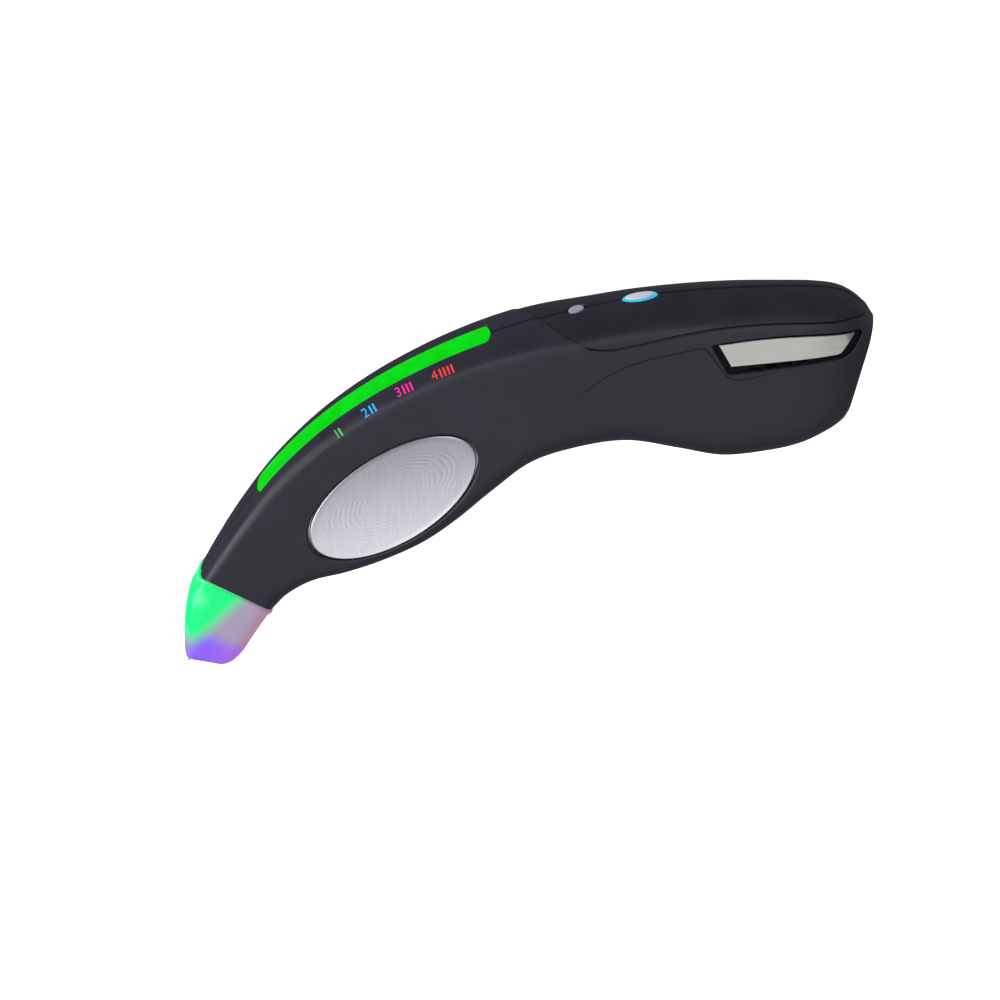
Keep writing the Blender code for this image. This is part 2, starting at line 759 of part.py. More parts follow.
def right_shell():
    """The far half of the housing, with the screws' deep seats and the board's posts."""
    shell = housing("right_shell", plastics["shell"])
    cut(shell, spaces["right_half"], "INTERSECT")
    add_bosses(shell, "boss", -1, screw_places(), BOSS_RADIUS, CLEARANCE / 2)
    posts = [place(*share) for share in post_shares]
    add_bosses(shell, "post", -1, posts, POST_RADIUS, BOARD_THICKNESS / 2 + CLEARANCE)
    for number, spot in enumerate(screw_places()):
        frame = side_frame(spot.x, spot.y, -1)
        way = SCREW_RADIUS + CLEARANCE
        seat = SCREW_HEAD_RADIUS + CLEARANCE
        top = HALF_WIDTH + OVERRUN
        bm = turned(frame, ((-OVERRUN, way), (SCREW_SEAT, way), (SCREW_SEAT, seat), (top, seat)))
        cut(shell, add_object("screw_seat_%d" % (number + 1), bm, None, smooth=False))
    for space in ("cover", "door", "bar"):
        cut(shell, spaces[space])
    cut(shell, plate_hole(-1))
    cut(shell, name_recess(-1))
    return shell


def top_cover():
    """The rear roof, with a groove along its middle and the holes of the two buttons."""
    cover = housing("top_cover", plastics["cover"], COVER_SINK)
    cut(cover, spaces["cover_inside"], "INTERSECT")
    groove = crest_band(0.0, 1.0, GROOVE_WIDTH / 2, -OVERRUN, GROOVE_DEPTH, ALONG_STEPS)
    cut(cover, add_object("cover_groove", groove, None, smooth=False))
    frame = crest_frame(POWER_PLACE_SHARE)
    outset = RING_WIDTH + CLEARANCE
    ends = ((OVERRUN, outset), (-WALL - OVERRUN, outset))
    rings = oval_rings(frame, ends, POWER_LENGTH / 2, POWER_WIDTH / 2)
    cut(cover, add_object("power_hole", bridge(bmesh.new(), rings), None, smooth=False))
    frame = crest_frame(LIGHT_BUTTON_PLACE_SHARE)
    radius = LIGHT_BUTTON_RADIUS + CLEARANCE
    bm = turned(frame, ((OVERRUN, radius), (-WALL - OVERRUN, radius)))
    cut(cover, add_object("light_hole", bm, None, smooth=False))
    return cover


def battery_door():
    """The belly of the handle, which swings down about its front edge."""
    door = housing("battery_door", plastics["shell"])
    cut(door, spaces["door_inside"], "INTERSECT")
    return door


def indicator_bar():
    """A clear strip in the crest, with a flange behind the shells' walls."""
    steps = ALONG_STEPS // 2
    half = BAR_WIDTH / 2
    seat = WALL + CLEARANCE
    foot = half + WALL / 2
    rings = []
    for step in range(steps + 1):
        frame = crest_frame(BAR_FROM_SHARE + (BAR_TO_SHARE - BAR_FROM_SHARE) * step / steps)
        corners = ((-BAR_PROUD, half), (seat, half), (seat, foot), (seat + BAR_FLANGE, foot))
        ring = [(depth, width) for depth, width in corners]
        ring += [(depth, -width) for depth, width in corners[::-1]]
        rings.append([frame @ Vector((0.0, -depth, width)) for depth, width in ring])
    return add_object("indicator_bar", bridge(bmesh.new(), rings), lights["bar"])


def bar_lights():
    """The lamps of the bar, on a strip that the main board's edge carries."""
    start = WALL + CLEARANCE + BAR_FLANGE + CLEARANCE
    for number in range(LED_COUNT):
        frame = crest_frame(BAR_FROM_SHARE + (BAR_TO_SHARE - BAR_FROM_SHARE) * (number + 0.5) / LED_COUNT)
        low = Vector((-LED_LENGTH / 2, -start - LED_HEIGHT, -LED_WIDTH / 2))
        high = Vector((LED_LENGTH / 2, -start, LED_WIDTH / 2))
        add_object("bar_lamp_%d" % (number + 1), block(frame, low, high), lights["lamp"], smooth=False)
    under = start + LED_HEIGHT + CLEARANCE
    strip = crest_band(BAR_FROM_SHARE, BAR_TO_SHARE, BAR_WIDTH / 2,
                       under, under + STRIP_THICKNESS, ALONG_STEPS // 2)
    add_object("led_strip", strip, boards["green"])
    return under + STRIP_THICKNESS + CLEARANCE


def power_button():
    """An oval cap that slides in its ring, on a flange that the ring holds down."""
    frame = crest_frame(POWER_PLACE_SHARE)
    seat = RING_SEAT + BUTTON_FLANGE + CLEARANCE
    hold = CLEARANCE + BUTTON_FLANGE
    steps = ((BUTTON_PROUD, -BUTTON_PROUD * 2), (BUTTON_PROUD, -BUTTON_PROUD), (BUTTON_PROUD / 2, 0.0),
             (-seat, 0.0), (-seat, hold), (-seat - BUTTON_FLANGE, hold))
    rings = oval_rings(frame, steps, POWER_LENGTH / 2, POWER_WIDTH / 2)
    cap = add_object("power_button", bridge(bmesh.new(), rings), metals["cap"])
    set_origin(cap, frame.translation)
    rim = RING_WIDTH + CLEARANCE + BUTTON_FLANGE
    low = -RING_SEAT - BUTTON_FLANGE
    steps = ((RING_PROUD, CLEARANCE), (RING_PROUD, RING_WIDTH), (-RING_SEAT, RING_WIDTH),
             (-RING_SEAT, rim), (low, rim), (low, CLEARANCE))
    rings = oval_rings(frame, steps, POWER_LENGTH / 2, POWER_WIDTH / 2)
    add_object("power_ring", bridge(bmesh.new(), rings, closed=True), lights["ring"])
    return seat + BUTTON_FLANGE + POWER_TRAVEL + SWITCH_SLACK


def light_button(plunger):
    """A small round button whose stem reaches down to its switch."""
    frame = crest_frame(LIGHT_BUTTON_PLACE_SHARE)
    seat = WALL + CLEARANCE
    hold = LIGHT_BUTTON_RADIUS + CLEARANCE + BUTTON_FLANGE
    foot = plunger - LIGHT_BUTTON_TRAVEL - SWITCH_SLACK
    steps = ((BUTTON_PROUD, LIGHT_BUTTON_RADIUS - BUTTON_PROUD), (BUTTON_PROUD / 2, LIGHT_BUTTON_RADIUS),
             (-seat, LIGHT_BUTTON_RADIUS), (-seat, hold), (-seat - BUTTON_FLANGE, hold),
             (-seat - BUTTON_FLANGE, STEM_RADIUS), (-foot, STEM_RADIUS))
    button = add_object("light_button", turned(frame, steps), plastics["button"])
    set_origin(button, frame.translation)


def switch(name, position, plunger):
    """A small square switch with a round plunger, on the button board."""
    frame = crest_frame(position)
    top = -plunger - PLUNGER_HEIGHT
    half = SWITCH_WIDTH / 2
    low = Vector((-half, top - SWITCH_HEIGHT, -half))
    bm = block(frame, low, Vector((half, top, half)))
    item = add_object(name, bm, plastics["switch"], smooth=False)
    steps = ((top - SWITCH_HEIGHT / 2, PLUNGER_RADIUS), (-plunger, PLUNGER_RADIUS))
    cut(item, add_object(name + "_plunger", turned(frame, steps), None, smooth=False), "UNION")


def button_board(plunger):
    depth = plunger + PLUNGER_HEIGHT + SWITCH_HEIGHT + CLEARANCE
    band = crest_band(BUTTON_BOARD_FROM_SHARE, BUTTON_BOARD_TO_SHARE, BUTTON_BOARD_HALF_WIDTH,
                      depth, depth + BOARD_THICKNESS, ALONG_STEPS // 3)
    add_object("button_board", band, boards["green"], smooth=False)


def main_board(top_inset):
    """A board in the divided plane that follows the crest above and the belly below."""
    steps = ALONG_STEPS // 2
    upper = []
    lower = []
    for step in range(steps + 1):
        position = BOARD_FROM_SHARE + (BOARD_TO_SHARE - BOARD_FROM_SHARE) * step / steps
        down = (belly(position) - crest(position)).normalized()
        upper.append(crest_frame(position) @ Vector((0.0, -top_inset, 0.0)))
        lower.append(belly(position) - down * BOARD_BELLY_INSET)
    half = BOARD_THICKNESS / 2
    board = slab(upper + lower[::-1], at(-half), at(half))
    add_object("main_board", board, boards["green"], smooth=False)


def controller_chip():
    base = BOARD_THICKNESS / 2 + CLEARANCE
    half = CHIP_SIZE / 2
    frame = Matrix.Translation(place(CHIP_X_SHARE, CHIP_Y_SHARE))
    low = Vector((-half, -half, base))
    bm = block(frame, low, Vector((half, half, base + CHIP_HEIGHT)))
    add_object("controller_chip", bm, plastics["chip"], smooth=False)


def plate_contact(side):
    """A spring contact from the main board to the back of a touch plate."""
    spot = place(PLATE_X_SHARE, PLATE_Y_SHARE)
    frame = side_frame(spot.x, spot.y, side)
    tip = skin(spot.x, spot.y) - PLATE_DISH - PLATE_THICKNESS - CLEARANCE
    foot = BOARD_THICKNESS / 2 + CLEARANCE
    neck = tip - PIN_TIP_LENGTH
    steps = ((foot, PIN_RADIUS), (neck, PIN_RADIUS), (neck, PIN_TIP_RADIUS), (tip, PIN_TIP_RADIUS))
    add_object("plate_contact_" + names[side], turned(frame, steps), metals["pin"])


def sounder():
    rear = tray_ends()[1]
    spot = Vector((rear + SOUNDER_TRAY_GAP + SOUNDER_RADIUS, HEIGHT * SOUNDER_Y_SHARE, 0.0))
    frame = side_frame(spot.x, spot.y, 1)
    top = boss_end(spot, SOUNDER_RADIUS) - WALL / 2 - CLEARANCE
    steps = ((top - SOUNDER_HEIGHT, SOUNDER_RADIUS), (top, SOUNDER_RADIUS))
    add_object("sounder", turned(frame, steps), plastics["chip"])


def case_screws():
    seat = SCREW_SEAT + CLEARANCE
    steps = ((-SCREW_BITE, SCREW_RADIUS), (seat, SCREW_RADIUS),
             (seat, SCREW_HEAD_RADIUS), (seat + SCREW_HEAD_HEIGHT, SCREW_HEAD_RADIUS))
    for number, spot in enumerate(screw_places()):
        frame = side_frame(spot.x, spot.y, -1)
        add_object("case_screw_%d" % (number + 1), turned(frame, steps), metals["screw"])


def nose_figure(position):
    """The nose's cross-section at a share of its way from the joint to the tip."""
    share = [spline([row[index] for row in nose_shares], position) for index in range(7)]
    depth = (crest(0.0) - belly(0.0)).length / 2
    root = figure(0.0)
    frame = nose_frame()
    top = frame @ Vector((depth * share[2], NOSE_LENGTH * share[0] + CLEARANCE, 0.0))
    bottom = frame @ Vector((depth * share[3], NOSE_LENGTH * share[1] + CLEARANCE, 0.0))
    spread = (top - bottom).length / (2 * depth)
    return (top, bottom, root[2] * share[4], root[3] * spread, share[5], root[5] * spread, share[6])


def nose_rings(inset, start, end):
    return [whole_outline(inset_figure(nose_figure(start + (end - start) * step / NOSE_STEPS), inset))
            for step in range(NOSE_STEPS + 1)]


def nose_cone():
    """The translucent nose, with a spigot in the shells and holes for probe and lamp."""
    inset = WALL + CLEARANCE
    rings = [joint_ring(inset + NOSE_WALL / 2, CLEARANCE), joint_ring(-NOSE_PROUD, CLEARANCE)]
    rings += nose_rings(0.0, 0.0, 1.0)[1:]
    cone = add_object("nose_cone", bridge(bmesh.new(), rings), lights["nose"])
    neck = [whole_outline(inset_figure(figure(SPIGOT_SHARE), inset)),
            whole_outline(inset_figure(figure(0.0), inset)),
            whole_outline(inset_figure(nose_figure(NOSE_ROOT_SHARE), inset))]
    cut(cone, add_object("nose_neck", bridge(bmesh.new(), neck), None), "UNION")
    inset += NOSE_WALL
    hollow = [whole_outline(inset_figure(figure(SPIGOT_SHARE * 2), inset)),
              whole_outline(inset_figure(figure(0.0), inset))]
    hollow += nose_rings(NOSE_WALL, NOSE_ROOT_SHARE, NOSE_CAVITY_SHARE)
    cut(cone, add_object("nose_cavity", bridge(bmesh.new(), hollow), None))
    frame = nose_frame()
    for name, offset, radius in (("probe_way", PROBE_OFFSET, PROBE_HOLE_RADIUS),
                                 ("window_way", LAMP_OFFSET, WINDOW_RADIUS)):
        spot = shift(frame, Vector((offset, 0.0, 0.0)))
        way = turned(spot, ((NOSE_LENGTH / 2, radius), (NOSE_LENGTH + OVERRUN, radius)))
        cut(cone, add_object(name, way, None, smooth=False))


def probe_holder():
    """A bulkhead across the nose that the probe's barrel and the lamps pass through."""
    rings = nose_rings(NOSE_WALL + CLEARANCE, HOLDER_FROM_SHARE, HOLDER_TO_SHARE)[::NOSE_STEPS // 3]
    holder = add_object("probe_holder", bridge(bmesh.new(), rings), plastics["holder"])
    frame = nose_frame()
    for name, offset, radius in (("barrel_way", PROBE_OFFSET, BARREL_RADIUS),
                                 ("stem_way", LAMP_OFFSET, LAMP_STEM_RADIUS)):
        spot = shift(frame, Vector((offset, 0.0, 0.0)))
        steps = ((-OVERRUN, radius + CLEARANCE), (NOSE_LENGTH, radius + CLEARANCE))
        cut(holder, add_object(name, turned(spot, steps), None, smooth=False))


def cap_distance(offset):
    """How far out the nose's end face lies at an offset from its axis."""
    frame = nose_frame().inverted()
    top, bottom = [frame @ point for point in nose_figure(1.0)[:2]]
    return top.y + (bottom.y - top.y) * (top.x - offset) / (top.x - bottom.x)


def probe():
    """The sprung tip in its barrel, which runs back to the board in the nose."""
    frame = shift(nose_frame(), Vector((PROBE_OFFSET, 0.0, 0.0)))
    face = cap_distance(PROBE_OFFSET)
    mouth = face - NOSE_WALL * 2
    lip = mouth - BARREL_LIP
    seat = lip - CLEARANCE
    seat_foot = seat - SEAT_LENGTH
    spring_foot = seat_foot - CLEARANCE - SPRING_LENGTH
    floor = spring_foot - CLEARANCE
    way = PROBE_RADIUS + CLEARANCE / 2
    end = face + PROBE_TRAVEL + PROBE_STUB
    steps = ((-BARREL_TAIL, CLEARANCE), (-BARREL_TAIL, BARREL_RADIUS), (mouth, BARREL_RADIUS), (mouth, way),
             (lip, way), (lip, BARREL_BORE), (floor, BARREL_BORE), (floor, CLEARANCE))
    add_object("probe_barrel", turned(frame, steps, hollow=True), metals["barrel"])
    steps = ((seat_foot, PLUNGER_SEAT_RADIUS), (seat, PLUNGER_SEAT_RADIUS), (seat, PROBE_RADIUS),
             (end - PROBE_RADIUS, PROBE_RADIUS), (end, PROBE_RADIUS / 2))
    tip = add_object("probe_tip", turned(frame, steps), metals["probe"])
    set_origin(tip, frame.translation)
    radius = BARREL_BORE - CLEARANCE / 2 - SPRING_WIRE
    wire = SPRING_WIRE
    bm = coil(frame, spring_foot + wire, SPRING_LENGTH - wire * 2, radius - wire, wire, SPRING_TURNS)
    add_object("probe_spring", bm, metals["spring"])


def nose_board():
    """A small board on the barrel's tail that carries the two lamps."""
    frame = nose_frame()
    low = Vector((-NOSE_BOARD_HALF_LENGTH, -NOSE_BOARD_DEPTH - BOARD_THICKNESS / 2, -NOSE_BOARD_HALF_WIDTH))
    high = Vector((NOSE_BOARD_HALF_LENGTH, -NOSE_BOARD_DEPTH + BOARD_THICKNESS / 2, NOSE_BOARD_HALF_WIDTH))
    board = add_object("nose_board", block(frame, low, high), boards["green"], smooth=False)
    spot = shift(frame, Vector((PROBE_OFFSET, 0.0, 0.0)))
    radius = BARREL_RADIUS + CLEARANCE
    steps = ((-NOSE_BOARD_DEPTH - OVERRUN, radius), (-NOSE_BOARD_DEPTH + OVERRUN, radius))
    cut(board, add_object("board_way", turned(spot, steps), None, smooth=False))


def nose_lamps():
    """The ultraviolet lamp on its stem, and the small lamp that lights the nose."""
    foot = -NOSE_BOARD_DEPTH + BOARD_THICKNESS / 2 + CLEARANCE
    frame = shift(nose_frame(), Vector((LAMP_OFFSET, 0.0, 0.0)))
    front = cap_distance(LAMP_OFFSET) - NOSE_WALL * 2
    shoulder = front - LAMP_RADIUS / 2
    base = front - LAMP_LENGTH
    steps = ((foot, LAMP_STEM_RADIUS), (base, LAMP_STEM_RADIUS), (base, LAMP_RADIUS),
             (shoulder, LAMP_RADIUS), (front, LAMP_RADIUS / 2))
    add_object("uv_lamp", turned(frame, steps), lights["violet"])
    frame = shift(nose_frame(), Vector((STATUS_LAMP_OFFSET, 0.0, 0.0)))
    shoulder = foot + STATUS_LAMP_LENGTH - STATUS_LAMP_RADIUS / 2
    steps = ((foot, STATUS_LAMP_RADIUS), (shoulder, STATUS_LAMP_RADIUS),
             (foot + STATUS_LAMP_LENGTH, STATUS_LAMP_RADIUS / 2))
    add_object("status_lamp", turned(frame, steps), lights["lamp"])


def tray_ends():
    """The tray's front and rear faces, and the inner faces of its contacts."""
    plate = TRAY_WALL + CLEARANCE + CONTACT_THICKNESS
    cells = CONTACT_SPRING + CELL_LENGTH + NUB_LENGTH + CLEARANCE * 3
    half = cells / 2 + plate
    front = LENGTH * TRAY_MIDDLE_SHARE - half
    rear = LENGTH * TRAY_MIDDLE_SHARE + half
    return front, rear, front + plate, rear - plate


def cell_places():
    """Height and side of each cell, with the way its knob points."""
    reach = CELL_RADIUS + CELL_SPACE / 2
    lower = HEIGHT * LOWER_CELL_SHARE
    return ((lower, reach, 1), (lower, -reach, -1), (lower + reach * 2, reach, -1),
            (lower + reach * 2, -reach, 1))


def battery_tray():
    """An open tray whose side wings and ends hold the four cells from above."""
    front, rear, _, _ = tray_ends()
    roof = cell_places()[2][0] + CELL_RADIUS + CLEARANCE + TRAY_WALL
    floor = HEIGHT * TRAY_FLOOR_SHARE
    wing = HEIGHT * TRAY_WING_SHARE
    outer = TRAY_HALF_WIDTH + TRAY_WALL
    frame = Matrix.Identity(4)
    bm = block(frame, Vector((front, floor, -outer)), Vector((rear, roof, outer)))
    tray = add_object("battery_tray", bm, plastics["tray"], smooth=False)
    low = Vector((front + TRAY_WALL, floor - OVERRUN, -TRAY_HALF_WIDTH))
    high = Vector((rear - TRAY_WALL, roof - TRAY_WALL, TRAY_HALF_WIDTH))
    cut(tray, add_object("tray_space", block(frame, low, high), None, smooth=False))
    low = Vector((front + TRAY_WALL, floor - OVERRUN, -outer - OVERRUN))
    high = Vector((rear - TRAY_WALL, wing, outer + OVERRUN))
    cut(tray, add_object("tray_sides", block(frame, low, high), None, smooth=False))


def cells():
    """Four cells that lie in the tray with their knobs in turn to the front and rear."""
    _, _, front, rear = tray_ends()
    for number, (height, side, way) in enumerate(cell_places()):
        knob = rear - CLEARANCE if way > 0 else front + CLEARANCE
        frame = axes_at(Vector((knob, height, side)), Vector((0.0, way, 0.0)))
        foot = NUB_LENGTH + CELL_LENGTH
        steps = ((0.0, NUB_RADIUS), (NUB_LENGTH, NUB_RADIUS),
                 (NUB_LENGTH, CELL_RADIUS), (foot, CELL_RADIUS))
        add_object("cell_%d" % (number + 1), turned(frame, steps), metals["cell"])


def contacts():
    """A sprung contact at the flat end of each cell, and a plain one at its knob."""
    _, _, front, rear = tray_ends()
    half = CELL_RADIUS - CLEARANCE * 2
    for number, (height, side, way) in enumerate(cell_places()):
        for kind, face, out in (("spring", front, way), ("flat", rear, -way)):
            end = (face if way > 0 else front + rear - face)
            frame = axes_at(Vector((end, height, side)), Vector((0.0, -out, 0.0)))
            low = Vector((-half, -CONTACT_THICKNESS, -half))
            bm = block(frame, low, Vector((half, 0.0, half)))
            item = add_object("%s_contact_%d" % (kind, number + 1), bm, metals["contact"], smooth=False)
            if kind == "spring":
                length = CONTACT_SPRING - CONTACT_WIRE
                wire = coil(frame, 0.0, length, CELL_RADIUS / 2, CONTACT_WIRE, CONTACT_TURNS)
                cut(item, add_object("contact_coil_%d" % (number + 1), wire, None, smooth=False), "UNION")


def set_origin(item, point):
    """Put an object's origin on its joint's axis, with its mesh where it was."""
    item.data.transform(Matrix.Translation(-point))
    item.location = point


clear_scene()
tester = add_collection("diamond_tester")
cutters = add_collection("cutters")
middle = bpy.data.objects.new("divided_plane", None)
bpy.context.scene.collection.objects.link(middle)
middle.location.z = HALF_WIDTH

names = {1: "left", -1: "right"}
plastics = {
    "shell": add_material("shell_plastic", (0.038, 0.037, 0.048), 0.42),
    "cover": add_material("cover_plastic", (0.012, 0.012, 0.018), 0.38),
    "button": add_material("button_plastic", (0.30, 0.30, 0.38), 0.45),
    "switch": add_material("switch_plastic", (0.05, 0.05, 0.05), 0.50),
    "chip": add_material("chip_plastic", (0.02, 0.02, 0.02), 0.50),
    "holder": add_material("holder_plastic", (0.55, 0.55, 0.52), 0.55),
    "tray": add_material("tray_plastic", (0.03, 0.03, 0.03), 0.60),
}
lights = {
    "bar": add_material("bar_plastic", (0.0, 0.70, 0.0), 0.25, glow=1.0),
    "ring": add_material("ring_plastic", (0.0, 0.50, 1.0), 0.25, glow=1.0),
    "nose": add_material("nose_plastic", (0.35, 0.45, 0.42), 0.35, glow=0.3),
    "lamp": add_material("lamp_plastic", (0.20, 1.0, 0.35), 0.20, glow=2.0),
    "violet": add_material("violet_lamp_plastic", (0.35, 0.20, 1.0), 0.20, glow=2.0),
}
metals = {
    "plate": add_material("brushed_plate", (0.55, 0.54, 0.58), 0.35, metallic=1.0),
    "name": add_material("name_plate_metal", (0.65, 0.63, 0.60), 0.40, metallic=1.0),
    "cap": add_material("button_cap_metal", (0.75, 0.62, 0.62), 0.25, metallic=1.0),
    "pin": add_material("contact_pin_brass", (0.70, 0.52, 0.25), 0.30, metallic=1.0),
    "probe": add_material("probe_copper", (0.80, 0.42, 0.32), 0.25, metallic=1.0),
    "barrel": add_material("barrel_brass", (0.70, 0.55, 0.28), 0.30, metallic=1.0),
    "spring": add_material("spring_steel", (0.55, 0.55, 0.55), 0.30, metallic=1.0),
    "screw": add_material("screw_steel", (0.45, 0.45, 0.45), 0.35, metallic=1.0),
    "contact": add_material("contact_nickel", (0.65, 0.63, 0.58), 0.30, metallic=1.0),
    "cell": add_material("cell_wrap", (0.35, 0.20, 0.08), 0.35, metallic=1.0),
}
boards = {"green": add_material("board_laminate", (0.02, 0.16, 0.06), 0.45)}
spaces = {
    "left_half": half_space("left_half", 1),
    "right_half": half_space("right_half", -1),
    "cover": cover_space("cover_space", CLEARANCE),
    "cover_inside": cover_space("cover_inside", 0.0),
    "door": door_space("door_space", CLEARANCE),
    "door_inside": door_space("door_inside", 0.0),
    "bar": bar_space(),
}

left_shell()
right_shell()
top_cover()
set_origin(battery_door(), belly(hinge_position()))
for side in names:
    touch_plate(side)
    name_plate(side)
    plate_contact(side)
indicator_bar()
main_board(bar_lights())
controller_chip()
sounder()
case_screws()
plunger_depth = power_button()
light_button(plunger_depth)
switch("power_switch", POWER_PLACE_SHARE, plunger_depth)
switch("light_switch", LIGHT_BUTTON_PLACE_SHARE, plunger_depth)
button_board(plunger_depth)
nose_cone()
probe_holder()
probe()
nose_board()
nose_lamps()
battery_tray()
cells()
contacts()
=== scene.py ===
# %% [markdown]
# # A hand-held diamond tester
# The tester is a curved black handheld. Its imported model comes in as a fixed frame, in
# metres, and this lesson gives it its skin: a finer housing, brushed metal, lit plastic
# and the small fittings. Every piece rides on one of the frame's bodies, so that the
# buttons, the probe and the battery door still move.

import math

import bmesh
import bpy
from mathutils import Matrix, Vector


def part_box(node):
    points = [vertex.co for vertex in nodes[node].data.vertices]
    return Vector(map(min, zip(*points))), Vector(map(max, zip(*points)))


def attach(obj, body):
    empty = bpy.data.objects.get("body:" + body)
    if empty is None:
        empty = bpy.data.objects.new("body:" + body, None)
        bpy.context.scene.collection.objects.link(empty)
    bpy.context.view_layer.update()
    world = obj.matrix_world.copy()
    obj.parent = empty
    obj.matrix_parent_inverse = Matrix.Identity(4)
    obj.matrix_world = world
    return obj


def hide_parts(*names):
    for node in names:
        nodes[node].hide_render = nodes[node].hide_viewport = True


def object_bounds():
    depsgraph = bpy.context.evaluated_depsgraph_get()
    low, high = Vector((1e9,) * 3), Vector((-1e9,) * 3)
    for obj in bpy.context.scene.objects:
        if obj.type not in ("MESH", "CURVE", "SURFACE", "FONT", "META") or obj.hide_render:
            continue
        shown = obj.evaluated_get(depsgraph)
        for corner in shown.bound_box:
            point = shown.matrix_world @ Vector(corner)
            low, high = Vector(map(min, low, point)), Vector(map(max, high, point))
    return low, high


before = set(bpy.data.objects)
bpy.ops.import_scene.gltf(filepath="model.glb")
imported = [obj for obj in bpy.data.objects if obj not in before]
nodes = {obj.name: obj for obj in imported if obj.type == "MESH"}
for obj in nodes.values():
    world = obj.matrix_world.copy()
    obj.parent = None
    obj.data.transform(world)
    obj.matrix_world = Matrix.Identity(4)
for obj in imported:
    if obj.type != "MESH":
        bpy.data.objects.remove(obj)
cad_low, cad_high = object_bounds()
print("the frame spans", [round(v * 1000, 1) for v in cad_high - cad_low], "mm")

# %% [markdown]
# ## The camera
# The tester lies on its right side, and the photograph looks down on its left side with
# the crest towards the top of the picture. A very long lens keeps the outline free of
# perspective, as in a product photograph. The picture is 250 mm wide, so one millimetre
# is four pixels of a picture 1000 pixels wide.

# %% Set up the camera
HALF_WIDTH = 0.0145
PICTURE_WIDTH = 0.250
CAMERA_DISTANCE = 6.0
CAMERA_TILT = math.radians(26.0)
PICTURE_CENTER_X = -0.0300
PICTURE_CENTER_DROP = -0.0275


def add_camera():
    """A long-lens camera over the left side, tilted towards the crest."""
    camera = bpy.data.objects.new("camera", bpy.data.cameras.new("camera"))
    bpy.context.scene.collection.objects.link(camera)
    camera.data.lens = camera.data.sensor_width * CAMERA_DISTANCE / PICTURE_WIDTH
    right = Vector((1.0, 0.0, 0.0))
    up = Vector((0.0, math.cos(CAMERA_TILT), -math.sin(CAMERA_TILT)))
    back = right.cross(up)
    aim = Vector((0.0, 0.0, HALF_WIDTH)) + right * PICTURE_CENTER_X + up * PICTURE_CENTER_DROP
    camera.matrix_world = Matrix((right, up, back)).transposed().to_4x4()
    camera.location = aim + back * CAMERA_DISTANCE
    bpy.context.scene.camera = camera
    print("camera at", [round(v, 3) for v in camera.location])


add_camera()
bpy.context.scene.view_settings.view_transform = "Standard"

# %% [markdown]
# ## The housing's form
# The housing is a loft. Its cross-sections stand along a curved profile, and each one is
# named by two points of the profile, the crest and the belly, with a half width and the
# depth and squareness of its rounded roof and belly. A spline between the rows gives as
# many sections as the skin needs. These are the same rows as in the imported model, so the
# finer skin lies where the solid one was.

# %% Rows of the profile
LENGTH = 0.1686
HEIGHT = 0.0900
ROOF_DEPTH = 0.0100
BELLY_DEPTH = 0.0110

# Each row: crest x and y, belly x and y, half width, roof depth and squareness,
# belly depth and squareness, all as shares
profile_shares = (
    (-0.6235, -0.562, -0.516, -0.663, 0.54, 0.45, 4.0, 0.45, 2.2),
    (-0.599, -0.478, -0.489, -0.606, 0.62, 0.48, 4.2, 0.48, 2.2),
    (-0.563, -0.367, -0.450, -0.561, 0.69, 0.52, 4.5, 0.50, 2.2),
    (-0.511, -0.230, -0.402, -0.536, 0.73, 0.58, 4.5, 0.50, 2.2),
    (-0.445, -0.102, -0.348, -0.496, 0.79, 0.62, 4.5, 0.50, 2.2),
    (-0.371, 0.005, -0.289, -0.437, 0.85, 0.65, 4.5, 0.50, 2.2),
    (-0.289, 0.096, -0.239, -0.363, 0.90, 0.68, 4.5, 0.55, 2.3),
    (-0.208, 0.167, -0.186, -0.272, 0.95, 0.68, 4.0, 0.70, 2.4),
    (-0.133, 0.218, -0.130, -0.186, 1.00, 0.65, 3.0, 0.85, 2.5),
    (-0.059, 0.256, -0.059, -0.143, 1.00, 0.68, 2.2, 0.95, 2.4),
    (0.015, 0.289, 0.012, -0.125, 1.00, 0.85, 2.0, 1.00, 2.4),
    (0.089, 0.309, 0.086, -0.148, 1.00, 0.95, 1.95, 1.00, 2.4),
    (0.163, 0.320, 0.151, -0.170, 1.00, 0.98, 1.9, 1.00, 2.4),
    (0.237, 0.325, 0.219, -0.158, 0.95, 0.95, 1.8, 1.00, 2.4),
    (0.289, 0.324, 0.267, -0.136, 0.90, 0.90, 1.8, 0.95, 2.4),
    (0.326, 0.314, 0.306, -0.100, 0.81, 0.85, 1.8, 0.85, 2.4),
    (0.356, 0.278, 0.328, -0.072, 0.67, 0.80, 1.9, 0.75, 2.4),
    (0.375, 0.222, 0.335, -0.055, 0.52, 0.55, 2.2, 0.60, 2.4),
)
profile_columns = list(zip(*profile_shares))


def spline(values, position):
    """A smooth value between the entries of a list, at a position from 0 to 1."""
    spans = len(values) - 1
    place = min(max(position, 0.0), 1.0) * spans
    index = min(int(place), spans - 1)
    t = place - index
    p1 = values[index]
    p2 = values[index + 1]
    p0 = values[index - 1] if index else 2 * p1 - p2
    p3 = values[index + 2] if index < spans - 1 else 2 * p2 - p1
    slope_1 = (p2 - p0) / 2
    slope_2 = (p3 - p1) / 2
    return (
        (2 * t ** 3 - 3 * t ** 2 + 1) * p1
        + (t ** 3 - 2 * t ** 2 + t) * slope_1
        + (3 * t ** 2 - 2 * t ** 3) * p2
        + (t ** 3 - t ** 2) * slope_2
    )


def plane_point(x_share, y_share):
    """A point of the plane that divides the two shells."""
    return Vector((LENGTH * x_share, HEIGHT * y_share, 0.0))


def crest(position):
    return plane_point(spline(profile_columns[0], position), spline(profile_columns[1], position))


def belly(position):
    return plane_point(spline(profile_columns[2], position), spline(profile_columns[3], position))


